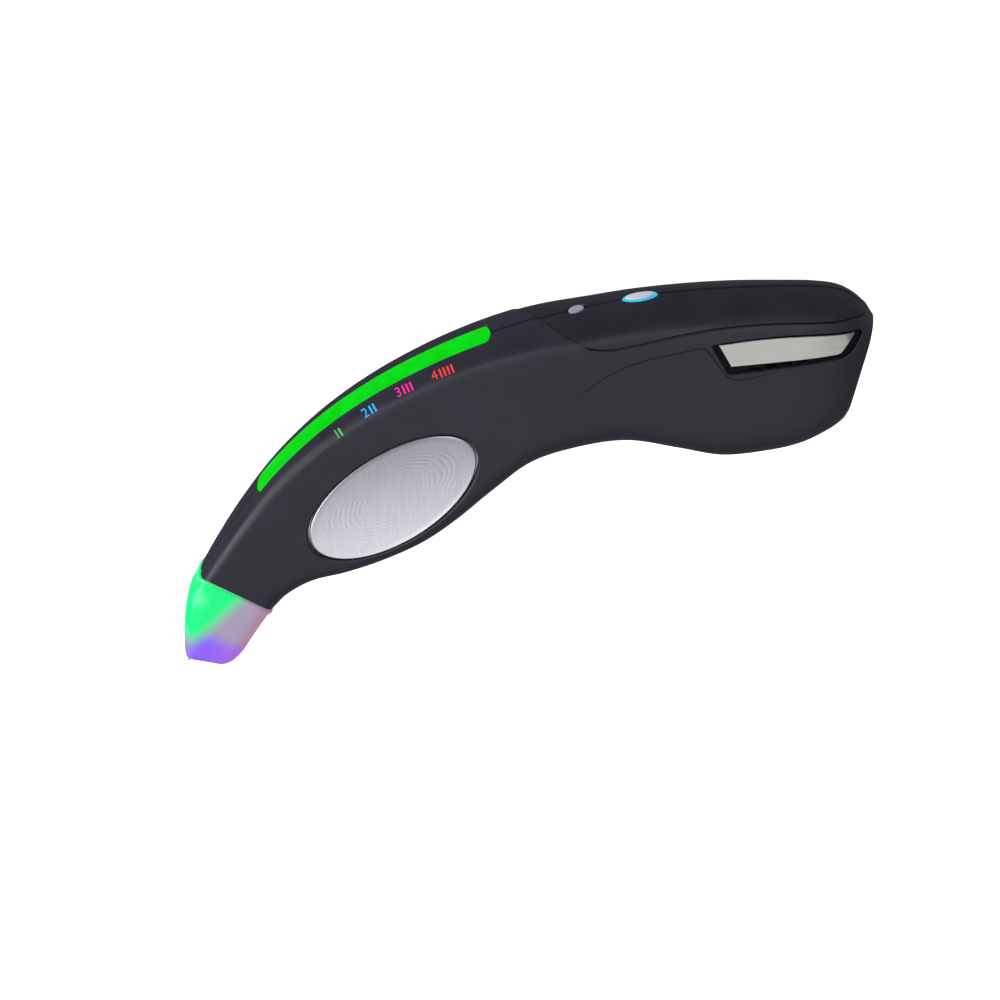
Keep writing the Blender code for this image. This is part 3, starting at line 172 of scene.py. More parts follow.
def section(position):
    """Crest, belly, half width, roof depth and squareness, belly depth and squareness."""
    share = [spline(column, position) for column in profile_columns[4:]]
    return (crest(position), belly(position), HALF_WIDTH * min(share[0], 1.0),
            ROOF_DEPTH * share[1], share[2], BELLY_DEPTH * share[3], share[4])


def inset_section(shape, inset):
    """The same cross-section with every side moved in."""
    top, bottom, half, roof, roof_power, keel, keel_power = shape
    down = (bottom - top).normalized()
    return (top + down * inset, bottom - down * inset, half - inset,
            max(roof - inset, inset), roof_power, max(keel - inset, inset), keel_power)


print("the profile has", len(profile_shares), "rows")

# %% [markdown]
# ### Rings
# A section becomes a ring of points: an arc for the roof, a straight side and an arc for
# the belly, then the same again mirrored. The arcs are superellipses, which are squarer
# than a circle where their power is over 2.

# %% Rings
ROOF_STEPS = 13
SIDE_STEPS = 5
BELLY_STEPS = 10


def arc(steps, depth, power):
    """A quarter of a superellipse, as pairs of depth and share of the half width."""
    angles = [math.pi / 2 * step / steps for step in range(steps + 1)]
    return [(depth * (1 - abs(math.cos(angle)) ** (2 / power)), abs(math.sin(angle)) ** (2 / power))
            for angle in angles]


def left_ring(shape):
    """The left half of a cross-section, from the crest to the belly."""
    top, bottom, half, roof, roof_power, keel, keel_power = shape
    down = (bottom - top).normalized()
    span = (bottom - top).length
    out = Vector((0.0, 0.0, half))
    points = [top + down * depth + out * share for depth, share in arc(ROOF_STEPS, roof, roof_power)]
    points += [top + down * (roof + (span - roof - keel) * step / SIDE_STEPS) + out
               for step in range(1, SIDE_STEPS)]
    points += [top + down * (span - depth) + out * share
               for depth, share in arc(BELLY_STEPS, keel, keel_power)[::-1]]
    return points


def whole_ring(shape):
    """A closed cross-section, round from the crest."""
    left = left_ring(shape)
    right = [Vector((point.x, point.y, -point.z)) for point in left[1:-1]]
    return left + right[::-1]


print("a ring has", len(whole_ring(section(0.0))), "points")

# %% [markdown]
# ### Places on the skin
# Marks, seams and plates have to lie exactly on the skin. No formula turns a point of the
# profile into its cross-section, so it is searched for by halving: the range is cut in
# two again and again, and the half with the answer is kept. Points are named by their x
# and y in the plane that divides the shells.

# %% Places on the skin
HALVINGS = 26
SLOPE_STEP = 0.00005
CREST_SPAN = 0.008


def halved(low, high, is_low, steps=HALVINGS):
    """The value between two limits where a test turns from true to false."""
    for _ in range(steps):
        middle = (low + high) / 2
        if is_low(middle):
            low = middle
        else:
            high = middle
    return low


def station_of(point):
    """The position whose cross-section passes through a point of the divided plane."""
    def is_ahead(position):
        top = crest(position)
        across = belly(position) - top
        return across.x * (point.y - top.y) - across.y * (point.x - top.x) > 0
    return halved(0.0, 1.0, is_ahead)


def rounding(point):
    """The half width at a point, and the share and the power of its roof or belly arc."""
    top, bottom, half, roof, roof_power, keel, keel_power = section(station_of(point))
    depth = (point - top).dot((bottom - top).normalized())
    rise = (bottom - top).length - depth
    if depth < roof:
        return half, 1 - depth / roof, roof_power
    if rise < keel:
        return half, 1 - rise / keel, keel_power
    return half, 0.0, roof_power


def skin_excess(point):
    """Zero on the skin, less than zero inside the housing and more outside it."""
    half, share, power = rounding(point)
    return share ** power + (abs(point.z) / half) ** power - 1


def skin(x, y):
    """How far the left side stands from the divided plane above a point of the profile."""
    half, share, power = rounding(Vector((x, y, 0.0)))
    return half * (1 - min(share, 1.0) ** power) ** (1 / power)


def on_skin(x, y, side=1, drop=0.0):
    """The point of the skin over a point of the profile, sunk by a drop."""
    return Vector((x, y, side * (skin(x, y) - drop)))


def skin_normal(point):
    """The outward direction of the skin at one of its points, from the slope of its excess."""
    slope = []
    for axis in range(3):
        step = Vector((0.0, 0.0, 0.0))
        step[axis] = SLOPE_STEP
        slope.append(skin_excess(point + step) - skin_excess(point - step))
    return Vector(slope).normalized()


def axes_at(origin, along):
    """Axes in the divided plane: x along a direction, y a quarter turn on, z left."""
    across = Vector((-along.y, along.x, 0.0))
    axes = Matrix.Identity(4)
    axes.col[0].xyz = along
    axes.col[1].xyz = across
    axes.col[3].xyz = origin
    return axes


def crest_axes(position):
    """Axes at the crest: x along it to the rear, y out of the roof."""
    along = (crest(position + CREST_SPAN) - crest(position - CREST_SPAN)).normalized()
    return axes_at(crest(position), along)


def nose_axes():
    """Axes at the middle of the nose joint: x to the crest, y out of the nose."""
    return axes_at((crest(0.0) + belly(0.0)) / 2, (crest(0.0) - belly(0.0)).normalized())


print("widest half", round(skin(0.0, 0.005) * 1000, 2), "mm")

# %% [markdown]
# ## Making meshes
# Rings of points are bridged into closed skins. Bent faces are split along a diagonal, so
# that every face is flat, which exact Booleans need. Round things are rings about an
# axis, as on a lathe.

# %% Skins, boxes and round solids
FLAT_ANGLE = math.radians(0.01)
ROUND_SIDES = 48


def bridge(rings, closed=False, bm=None):
    """Join rings of points of equal count into a skin of flat faces, with end caps."""
    bm = bm or bmesh.new()
    rows = [[bm.verts.new(point) for point in ring] for ring in rings]
    count = len(rows[0])
    made = []
    for row, following in list(zip(rows, rows[1:])) + ([(rows[-1], rows[0])] if closed else []):
        for index in range(count):
            after = (index + 1) % count
            made.append(bm.faces.new((row[index], row[after], following[after], following[index])))
    if not closed:
        made.append(bm.faces.new(rows[0][::-1]))
        made.append(bm.faces.new(rows[-1]))
    bmesh.ops.connect_verts_nonplanar(bm, angle_limit=FLAT_ANGLE, faces=made)
    return bm


def block(axes, low, high, bm=None):
    """A box between two corners given in some axes."""
    bm = bm or bmesh.new()
    spot = axes @ Matrix.Translation((low + high) / 2) @ Matrix.Diagonal((high - low).to_4d())
    bmesh.ops.create_cube(bm, size=1.0, matrix=spot)
    return bm


def oval_rings(axes, steps, long_radius=0.0, short_radius=0.0, sides=ROUND_SIDES):
    """Rings about the y direction of some axes, from pairs of distance and outset."""
    rings = []
    for distance, outset in steps:
        ring = []
        for side in range(sides):
            angle = math.tau * (side + 0.5) / sides
            ring.append(axes @ Vector(((long_radius + outset) * math.cos(angle), distance,
                                       (short_radius + outset) * math.sin(angle))))
        rings.append(ring)
    return rings


def turned(axes, steps, hollow=False, bm=None, sides=ROUND_SIDES):
    """A round solid about the y direction of some axes, from pairs of distance and radius."""
    return bridge(oval_rings(axes, steps, sides=sides), closed=hollow, bm=bm)


def side_axes(x, y, side):
    """Axes on the divided plane with y pointing out of the left or the right side."""
    axes = Matrix.Identity(4)
    axes.col[1].xyz = (0.0, 0.0, side)
    axes.col[2].xyz = (0.0, -side, 0.0)
    axes.col[3].xyz = (x, y, 0.0)
    return axes


def moved(axes, x=0.0, y=0.0, z=0.0):
    return axes @ Matrix.Translation((x, y, z))


print("round solids have", ROUND_SIDES, "sides")

# %% [markdown]
# ### From a mesh to a piece
# Cutters are the same kind of mesh. They are used once, by a Boolean modifier that is
# applied at once, and then removed. A finished piece is shaded, gets its material and
# rides on one of the frame's bodies. The plane that divides the shells stands half the
# tester's width above the floor, so every mesh is lifted by that much.

# %% Objects, Booleans and pieces
SMOOTH_ANGLE = math.radians(32)


def make_object(name, bm):
    """A closed mesh as an object, lifted onto the floor."""
    bmesh.ops.recalc_face_normals(bm, faces=bm.faces)
    bmesh.ops.translate(bm, verts=bm.verts, vec=(0.0, 0.0, HALF_WIDTH))
    mesh = bpy.data.meshes.new(name)
    bm.to_mesh(mesh)
    bm.free()
    item = bpy.data.objects.new(name, mesh)
    bpy.context.scene.collection.objects.link(item)
    return item


def carve(item, *steps, solver="EXACT"):
    """Apply a row of Booleans, each an operation with the mesh of its cutter."""
    cutters = []
    for operation, bm in steps:
        cutter = make_object(item.name + "_cutter", bm)
        change = item.modifiers.new("carve", "BOOLEAN")
        change.operation = operation
        change.solver = solver
        change.object = cutter
        cutters.append(cutter)
    graph = bpy.context.evaluated_depsgraph_get()
    mesh = bpy.data.meshes.new_from_object(item.evaluated_get(graph))
    item.modifiers.clear()
    item.data = mesh
    for cutter in cutters:
        bpy.data.objects.remove(cutter, do_unlink=True)
    return item


def finish_piece(item, body, material, replaced=(), smooth=True):
    """Shade a piece, dress it, and let it ride on a body in place of its nodes."""
    item.data.materials.clear()
    item.data.materials.append(material)
    if smooth:
        item.data.shade_smooth()
        item.data.set_sharp_from_angle(angle=SMOOTH_ANGLE)
    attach(item, body)
    if replaced:
        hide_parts(*replaced)
    print(item.name, "has", len(item.data.polygons), "faces")
    return item


# %% [markdown]
# ## Seams
# Where two moulded parts meet there is a fine gap with rounded edges, which reads as a
# dark line with a light one beside it. Each seam is a path on the skin. A cutter with
# sloping walls is swept along it, and is taken from the parts on both sides, so that
# their edges match.

# %% Seam paths and their cutters
SEAM_ABOVE = 0.0006
SEAM_SPACING = 0.0008
SHARPEST_TURN = 0.5
SHORTEST_SPAN = 1e-9

# Half width at the skin, depth and half width at the foot of each kind of groove
SEAM = (0.00042, 0.00035, 0.00012)
CREST_GROOVE = (0.00080, 0.0012, 0.00050)
COVER_GROOVE = (0.00062, 0.0010, 0.00036)
BELLY_GROOVE = (0.00042, 0.0005, 0.00015)
PLATE_GROOVE = (0.00045, 0.00032, 0.0001)
RECESS_GROOVE = (0.00022, 0.00022, 0.00004)
CREASE_GROOVE = (0.00020, 0.00022, 0.00006)


def groove(path, normals, half_width, depth, foot, closed=False, fade=0):
    """A cutter along a path on the skin, with sloping walls, that may fade out at its ends."""
    rings = []
    count = len(path)
    for index, (point, normal) in enumerate(zip(path, normals)):
        before = path[index - 1] if index or closed else point
        after = path[(index + 1) % count] if index < count - 1 or closed else point
        along = (after - before).normalized()
        out = (normal - along * normal.dot(along)).normalized()
        across = along.cross(out)
        turn = 1.0
        if before != point and after != point:
            turn = 1 / max(math.cos((point - before).angle(after - point) / 2), SHARPEST_TURN)
        share = 1.0
        if fade:
            share = min(1.0, (index + 0.25) / fade, (count - index - 0.75) / fade)
        spread = (half_width + (half_width - foot) * SEAM_ABOVE / depth) * share + foot * (1 - share)
        corners = ((-spread, SEAM_ABOVE), (-foot, -depth * share), (foot, -depth * share),
                   (spread, SEAM_ABOVE))
        rings.append([point + across * x * turn + out * y for x, y in corners])
    return bridge(rings, closed=closed)


def seam(points, size=SEAM, closed=False, fade=0):
    """A groove along points that lie on the skin."""
    return groove(points, [skin_normal(point) for point in points], *size, closed, fade)


def crest_path(start, end, count, sink=0.0):
    """Points along the crest with the directions out of the roof."""
    axes = [crest_axes(start + (end - start) * step / count) for step in range(count + 1)]
    normals = [axis.col[1].xyz for axis in axes]
    return [axis.translation - out * sink for axis, out in zip(axes, normals)], normals


def belly_path(start, end, count):
    """Points along the belly with the directions out of it."""
    points = [belly(start + (end - start) * step / count) for step in range(count + 1)]
    normals = []
    for index, point in enumerate(points):
        along = points[min(index + 1, count)] - points[max(index - 1, 0)]
        normals.append(Vector((along.y, -along.x, 0.0)).normalized())
    return points, normals


def even_path(points, spacing, closed=False):
    """The same path with its points set at an even spacing."""
    loop = points + points[:1] if closed else points
    spans = [(after - before).length for before, after in zip(loop, loop[1:])]
    count = max(2, round(sum(spans) / spacing))
    goals = [sum(spans) * step / count for step in range(count if closed else count + 1)]
    path = []
    index = 0
    passed = 0.0
    for goal in goals:
        while index < len(spans) - 1 and passed + spans[index] < goal:
            passed += spans[index]
            index += 1
        share = min(max((goal - passed) / max(spans[index], SHORTEST_SPAN), 0.0), 1.0)
        path.append(loop[index].lerp(loop[index + 1], share))
    return path


# %% [markdown]
# ### The cover's parting line
# The top cover's parting line runs along the handle's upper side and turns up across the
# roof in one sweep. It is drawn in the divided plane and then moved back the further it
# lies to the left, which lays its front edge slanting over the roof. On the right the
# line keeps lower.

# %% The parting line in the divided plane
COVER_SLANT_SHARE = 0.50
COVER_SWEEP = 0.0063
COVER_SWEEP_POWER = 6.2
parting_shares = {
    1: ((-0.1216, 0.2022), (-0.0919, 0.1989), (-0.0534, 0.2111), (0.0255, 0.2389), (0.1044, 0.2589),
        (0.1862, 0.2667), (0.2871, 0.2644), (0.3707, 0.2544), (0.4600, 0.2400)),
    -1: ((-0.1216, 0.1433), (-0.0880, 0.1700), (-0.0403, 0.1889), (0.0012, 0.1989), (0.0676, 0.2111),
         (0.1465, 0.2389), (0.2254, 0.2589), (0.3072, 0.2667), (0.3707, 0.2544), (0.4600, 0.2400)),
}
parting_columns = {side: list(zip(*rows)) for side, rows in parting_shares.items()}


def slant(z):
    """How far back the cover's front edge lies at a distance from the divided plane."""
    share = min(max(z, 0.0), HALF_WIDTH) / HALF_WIDTH
    return z * COVER_SLANT_SHARE + COVER_SWEEP * share ** COVER_SWEEP_POWER


def parting_point(position, side):
    """A point of the cover's lower edge in the divided plane."""
    columns = parting_columns[side]
    return plane_point(spline(columns[0], position), spline(columns[1], position))


def parting_y(x, side):
    """The height of the parting line in the divided plane."""
    return parting_point(halved(0.0, 1.0, lambda share: parting_point(share, side).x < x), side).y


print("the front edge sweeps back by", round(slant(HALF_WIDTH) * 1000, 1), "mm")

# %% [markdown]
# To find the line's place on the skin, each point of it slides out sideways until it
# reaches the skin. The cover's region is a solid in slices, each the line moved back by
# its own slant. The slices stand closer together near the side, where the slant bends.

# %% The parting line on the skin
CLEARANCE = 0.0003
OVERRUN = 0.0040
LINE_STEPS = 110
LINE_CROWDING = 1.5
FRONT_STEPS = 70
ROOF_FROM_SHARE = 0.3
ROOF_TO_SHARE = 0.8
slice_shares = (0.14, 0.3, 0.45, 0.55, 0.62, 0.68, 0.73, 0.78, 0.82, 0.86, 0.89, 0.92, 0.95, 0.975, 1.0)


def arc_point(start, end, half, reach, power, z):
    """The point of a rounded end, such as a roof, at a distance from the divided plane."""
    share = min(abs(z) / half, 1.0)
    depth = reach * (1 - (1 - share ** power) ** (1 / power))
    return start + (end - start).normalized() * depth + Vector((0.0, 0.0, z))


def roof_point(position, z):
    top, bottom, half, roof, power, _, _ = section(position)
    return arc_point(top, bottom, half, roof, power, z)


def belly_point(position, z):
    top, bottom, half, _, _, keel, power = section(position)
    return arc_point(bottom, top, half, keel, power, z)


def cover_corner(side):
    """Where the cover's front edge meets its parting line on one side."""
    front = parting_point(0.0, side)
    z = halved(0.0, HALF_WIDTH, lambda out: skin(front.x + slant(side * out), front.y) > out)
    return Vector((front.x + slant(side * z), front.y, side * z))


def cover_side(side):
    """Where the parting line meets the skin of one side, from its corner to the crest."""
    start = cover_corner(side).x
    end = halved(start, crest(1.0).x, lambda x: skin(x, parting_y(x, side)) > 0.0)
    points = []
    for step in range(LINE_STEPS):
        x = start + (end - start) * math.sin(math.pi / 2 * step / LINE_STEPS)
        z = halved(0.0, HALF_WIDTH,
                   lambda out: skin(x, parting_y(x - slant(side * out), side)) > out)
        points.append(Vector((x, parting_y(x - slant(side * z), side), side * z)))
    return points


def cover_front():
    """The cover's slanting front edge over the roof, from the right to the left."""
    right, left = cover_corner(-1).z, cover_corner(1).z
    front = parting_point(0.0, 1).x
    points = []
    for step in range(1, FRONT_STEPS):
        z = right + (left - right) * math.sin(math.pi / 2 * step / FRONT_STEPS)
        goal = front + slant(z)
        share = halved(ROOF_FROM_SHARE, ROOF_TO_SHARE, lambda share: roof_point(share, z).x < goal)
        points.append(roof_point(share, z))
    return points


def cover_space(gap):
    """The region over the parting line, in slices from the right to the left."""
    reach = HALF_WIDTH + OVERRUN
    near = HALF_WIDTH * slice_shares[0]
    rings = []
    for z in (-reach, -near, *(HALF_WIDTH * share for share in slice_shares), reach):
        move = Vector((slant(z), -gap, z))
        line = [parting_point((step / LINE_STEPS) ** LINE_CROWDING, 1 if z > 0 else -1) + move
                for step in range(LINE_STEPS + 1)]
        line[0].x -= gap
        rings.append(line + [Vector((point.x, HEIGHT / 2, z)) for point in (line[-1], line[0])])
    return bridge(rings)


cover_rim = even_path(cover_side(-1)[::-1] + cover_front() + cover_side(1), SEAM_SPACING, closed=True)
print("the cover's rim has", len(cover_rim), "points, from x",
      round(min(point.x for point in cover_rim) * 1000, 1), "mm")

# %% [markdown]
# ## The housing
# The housing is one thin-walled cup, open at the nose. The left and right shells, the
# cover and the battery door are all taken from it, so they can't help but line up. Its
# front edge is swept back at the sides, where the nose cone laps round.

# %% The cup
WALL = 0.0020
ALONG_STEPS = 108
REAR_STEPS = 10
JOINT_SWEEP_SHARE = 0.014


def joint_ring(inset, lift=0.0):
    """The housing's front edge, swept back at its sides and lifted towards the nose."""
    flat = whole_ring(inset_section(section(0.0), inset))
    half = max(point.z for point in flat)
    out = nose_axes().col[1].xyz * lift
    ring = []
    for index, point in enumerate(flat):
        position = JOINT_SWEEP_SHARE * (point.z / half) ** 2
        ring.append(whole_ring(inset_section(section(position), inset))[index] + out)
    return ring


def cup(name, sink=0.0):
    """The whole thin-walled housing, open at the nose, before it is divided."""
    outside = [joint_ring(sink)]
    outside += [whole_ring(inset_section(section(step / ALONG_STEPS), sink))
                for step in range(2, ALONG_STEPS + 1)]
    inside = [joint_ring(WALL)]
    inside += [whole_ring(inset_section(section(step / ALONG_STEPS), WALL))
               for step in range(4, ALONG_STEPS - REAR_STEPS + 1, 4)]
    end = (belly(1.0) - crest(1.0)).normalized()
    forward = Vector((end.y, -end.x, 0.0)) * WALL
    inside.append([point + forward for point in whole_ring(inset_section(section(1.0), WALL))])
    return make_object(name, bridge(outside[::-1] + inside))


def half_space(side):
    """The region on one side of the divided plane, past the whole housing."""
    reach = LENGTH / 2 + OVERRUN
    near = side * CLEARANCE / 2
    far = side * (HALF_WIDTH + OVERRUN)
    axes = Matrix.Translation((crest(0.0).x + reach, 0.0, 0.0))
    return block(axes, Vector((-reach, -reach, min(near, far))), Vector((reach, reach, max(near, far))))


print("the wall is", WALL * 1000, "mm thick")

# %% [markdown]
# ### The battery door's region
# The battery door is the belly of the handle, from its hinge round to the rear face. Its
# region stands between two planes. Both the door and the hole for it are cut with it,
# with a gap added for the hole.

# %% The door's region and its edges
DOOR_HALF_WIDTH = 0.0090
DOOR_FRONT_SHARE = -0.070
DOOR_REAR_TOP_SHARE = -0.006
DOOR_REACH = 0.0052
DOOR_STEPS = 40


def hinge_position():
    """The position whose belly point lies at the door's front edge."""
    return halved(0.0, 1.0, lambda position: belly(position).x < LENGTH * DOOR_FRONT_SHARE)


def door_space(gap):
    """The region of the battery door, between two planes beside the divided plane."""
    first = hinge_position()
    top = HEIGHT * DOOR_REAR_TOP_SHARE
    points = [belly(first + (1 - first) * step / DOOR_STEPS) for step in range(DOOR_STEPS + 1)]
    rear_wall = points[-1].x - WALL
    outline = [point + Vector((0.0, DOOR_REACH + gap, 0.0)) for point in points if point.x < rear_wall]
    outline[0].x -= gap
    outline.append(Vector((rear_wall - gap, top + gap, 0.0)))
    rear = LENGTH * parting_shares[1][-1][0]
    outline += [Vector((rear, top + gap, 0.0)), Vector((rear, -HEIGHT / 2, 0.0)),
                Vector((outline[0].x, -HEIGHT / 2, 0.0))]
    reach = Vector((0.0, 0.0, DOOR_HALF_WIDTH + gap))
    return bridge([[point - reach for point in outline], [point + reach for point in outline]])


def door_edge(side):
    """One long edge of the door, as far back as the belly is wider than the door."""
    first = hinge_position()
    points = []
    for step in range(DOOR_STEPS * 2):
        position = first + (1 - first) * step / (DOOR_STEPS * 2)
        if section(position)[2] > DOOR_HALF_WIDTH + CLEARANCE * 2:
            points.append(belly_point(position, side * (DOOR_HALF_WIDTH + CLEARANCE / 2)))
    return points


print("the door starts at x", round(belly(hinge_position()).x * 1000, 1), "mm")

# %% [markdown]
# ## The touch plate's and the name plate's places
# The touch plate is an oval turned to follow the curve of the body, and the name plate
# is a long four-cornered plate in the side of the handle. Both are drawn in the profile,
# and their points are then lifted to the skin.

# %% Plate outlines
PLATE_X_SHARE = -0.3366
PLATE_Y_SHARE = -0.2700
PLATE_LONG_SHARE = 0.1460
PLATE_SHORT_SHARE = 0.1311
PLATE_TURN = math.radians(37.4)
PLATE_SIDES = 96
NAME_RECESS = 0.0010
name_plate_shares = ((0.1456, 0.2127), (0.2480, 0.2418), (0.3470, 0.2270), (0.3270, 0.1707),
                     (0.1640, 0.1472))
name_plate_radii = (0.0002, 0.13, 0.0002, 0.0022, 0.0003)
name_recess_shares = ((0.1340, 0.2130), (0.2480, 0.2478), (0.3615, 0.2297), (0.3410, 0.1595),
                      (0.1600, 0.1225))
name_recess_radii = (0.0006, 0.13, 0.0010, 0.0042, 0.0016)


def widened(outset):
    """An oval's share of the touch plate that stands a width outside it."""
    return 1 + outset / (HEIGHT * PLATE_SHORT_SHARE)


def oval(share, side, drop):
    """A ring of points round a touch plate's place, sunk below the skin."""
    center = plane_point(PLATE_X_SHARE, PLATE_Y_SHARE)
    points = []
    for index in range(PLATE_SIDES):
        angle = math.tau * index / PLATE_SIDES
        across = LENGTH * PLATE_LONG_SHARE * share * math.cos(angle)
        rise = HEIGHT * PLATE_SHORT_SHARE * share * math.sin(angle)
        spot = center + Matrix.Rotation(PLATE_TURN, 3, "Z") @ Vector((across, rise, 0.0))
        points.append(on_skin(spot.x, spot.y, side, drop))
    return points


def rounded_outline(corner_shares, radii, arc_steps=8, spacing=0.0012):
    """An outline in the profile whose corners are rounded."""
    corners = [plane_point(*share) for share in corner_shares]
    outline = []
    for index, corner in enumerate(corners):
        before = (corners[index - 1] - corner).normalized()
        after = (corners[(index + 1) % len(corners)] - corner).normalized()
        half = before.angle(after) / 2
        reach = radii[index] / math.tan(half)
        center = corner + (before + after).normalized() * radii[index] / math.sin(half)
        start = corner + before * reach - center
        turn = math.pi - half * 2
        way = 1 if start.cross(corner - center).z > 0 else -1
        for step in range(arc_steps + 1):
            outline.append(center + Matrix.Rotation(way * turn * step / arc_steps, 3, "Z") @ start)
    filled = []
    for index, point in enumerate(outline):
        following = outline[(index + 1) % len(outline)]
        parts = max(1, round((following - point).length / spacing))
        filled += [point.lerp(following, part / parts) for part in range(parts)]
    return filled


def offset_outline(outline, distance):
    """An outline in the profile with every side moved inward by a distance."""
    moved_points = []
    for index, point in enumerate(outline):
        along = outline[(index + 1) % len(outline)] - outline[index - 1]
        inward = Vector((along.y, -along.x, 0.0)).normalized()
        moved_points.append(point + inward * distance)
    return moved_points


def skin_slab(outline, side, low, high):
    """A solid over an outline in the profile, between two depths below the skin."""
    rings = [[on_skin(point.x, point.y, side, drop) for point in outline] for drop in (low, high)]
    return bridge(rings)


print("the touch plate is", round(LENGTH * PLATE_LONG_SHARE * 2000, 1), "by",
      round(HEIGHT * PLATE_SHORT_SHARE * 2000, 1), "mm")

# %% [markdown]
# ## Materials
# Every finish is worked out from the point on the object, so nothing is painted from a
# picture. Node trees built by script soon fill with repeats, so each small helper adds
# one node, feeds it and hands on its output, and the finishes read like formulas.

# %% Node helpers


def feed(tree, socket, value):
    """Give a node's input a link, a colour or a number."""
    if isinstance(value, bpy.types.NodeSocket):
        tree.links.new(value, socket)
    elif socket.type == "RGBA":
        socket.default_value = tuple(value) + (1.0,) * (4 - len(value))
    else:
        socket.default_value = value


def math_node(tree, operation, first, second=None, clamp=False):
    """A math node whose inputs are sockets or numbers."""
    node = tree.nodes.new("ShaderNodeMath")
    node.operation = operation
    node.use_clamp = clamp
    feed(tree, node.inputs[0], first)
    if second is not None:
        feed(tree, node.inputs[1], second)
    return node.outputs[0]


def noise_node(tree, vector, scale, detail=2.0):
    node = tree.nodes.new("ShaderNodeTexNoise")
    node.inputs["Detail"].default_value = detail
    tree.links.new(vector, node.inputs["Vector"])
    feed(tree, node.inputs["Scale"], scale)
    return node.outputs["Fac"]


def ramp_node(tree, value, low, high, smooth=False):
    """Spread a value between two limits over zero to one."""
    node = tree.nodes.new("ShaderNodeMapRange")
    if smooth:
        node.interpolation_type = "SMOOTHSTEP"
    tree.links.new(value, node.inputs["Value"])
    node.inputs["From Min"].default_value = low
    node.inputs["From Max"].default_value = high
    return node.outputs["Result"]


def mix_colors(tree, share, first, second):
    node = tree.nodes.new("ShaderNodeMix")
    node.data_type = "RGBA"
    feed(tree, node.inputs["Factor"], share)
    feed(tree, node.inputs[6], first)
    feed(tree, node.inputs[7], second)
    return node.outputs[2]


def times(tree, first, *others):
    """The product of sockets and numbers."""
    for other in others:
        first = math_node(tree, "MULTIPLY", first, other)
    return first


def plus(tree, first, second, clamp=False):
    return math_node(tree, "ADD", first, second, clamp)


def placed(tree, vector, kind="POINT", **values):
    """A vector moved, turned or scaled by a Mapping node."""
    node = tree.nodes.new("ShaderNodeMapping")
    node.vector_type = kind
    tree.links.new(vector, node.inputs["Vector"])
    for socket, value in values.items():
        node.inputs[socket].default_value = value
    return node.outputs["Vector"]


def split(tree, vector):
    """The x, y and z outputs of a vector."""
    node = tree.nodes.new("ShaderNodeSeparateXYZ")
    tree.links.new(vector, node.inputs[0])
    return node.outputs


def length_of(tree, vector):
    node = tree.nodes.new("ShaderNodeVectorMath")
    node.operation = "LENGTH"
    tree.links.new(vector, node.inputs[0])
    return node.outputs["Value"]


# %% [markdown]
# ### Shared groups
# Two small node groups are shared by many finishes. One mottles a colour and a roughness
# a little, as moulding and handling do, and one gives the height of a fine grain. A
# group keeps their insides in one place, and each material sets only its own values.

# %% Node groups


def new_group(name, inputs, outputs):
    """A node group with named inputs and outputs, given as pairs of name and kind."""
    group = bpy.data.node_groups.new(name, "ShaderNodeTree")
    for socket, kind in inputs:
        group.interface.new_socket(socket, in_out="INPUT", socket_type="NodeSocket" + kind)
    for socket, kind in outputs:
        group.interface.new_socket(socket, in_out="OUTPUT", socket_type="NodeSocket" + kind)
    return group, group.nodes.new("NodeGroupInput"), group.nodes.new("NodeGroupOutput")


def make_mottle_group():
    """Clouds of two colours and two roughnesses."""
    group, start, end = new_group(
        "mottle",
        (("Vector", "Vector"), ("Scale", "Float"), ("Color A", "Color"), ("Color B", "Color"),
         ("Roughness A", "Float"), ("Roughness B", "Float")),
        (("Color", "Color"), ("Roughness", "Float")))
    cloud = noise_node(group, start.outputs["Vector"], start.outputs["Scale"], 4.0)
    share = ramp_node(group, cloud, 0.35, 0.65)
    color = mix_colors(group, share, start.outputs["Color A"], start.outputs["Color B"])
    group.links.new(color, end.inputs["Color"])
    span = math_node(group, "SUBTRACT", start.outputs["Roughness B"], start.outputs["Roughness A"])
    group.links.new(plus(group, start.outputs["Roughness A"], times(group, span, share)),
                    end.inputs["Roughness"])
    return group


def make_grain_group():
    """The height of a fine moulded grain, two sizes of noise together."""
    group, start, end = new_group(
        "grain", (("Vector", "Vector"), ("Scale", "Float")), (("Height", "Float"),))
    fine = noise_node(group, start.outputs["Vector"], start.outputs["Scale"], 2.0)
    coarse = noise_node(group, start.outputs["Vector"], times(group, start.outputs["Scale"], 0.23), 1.0)
    group.links.new(plus(group, fine, times(group, coarse, 0.5)), end.inputs["Height"])
    return group


mottle_group = make_mottle_group()
grain_group = make_grain_group()
print("groups:", [group.name for group in bpy.data.node_groups])

# %% [markdown]
# ### A material and its parts
# A new material starts from one Principled shader and the point on the object. Small
# helpers then add to it: the mottle group for colour and roughness, and a Bump node for
# fine relief, which is far cheaper than modelling a grain finer than a hair.

# %% Material helpers
GRAIN_DEPTH = 0.00002


def new_material(name, roughness=0.5, metallic=0.0, **sockets):
    """A material, its tree, its shader and the point on the object."""
    material = bpy.data.materials.new(name)
    material.use_nodes = True
    tree = material.node_tree
    shader = tree.nodes["Principled BSDF"]
    shader.inputs["Roughness"].default_value = roughness
    shader.inputs["Metallic"].default_value = metallic
    for socket, value in sockets.items():
        shader.inputs[socket.replace("_", " ")].default_value = value
    point = tree.nodes.new("ShaderNodeTexCoord").outputs["Object"]
    return material, tree, shader, point


def group_node(tree, group, point, scale):
    """A shared group placed in a material, at its own scale."""
    node = tree.nodes.new("ShaderNodeGroup")
    node.node_tree = group
    tree.links.new(point, node.inputs["Vector"])
    node.inputs["Scale"].default_value = scale
    return node


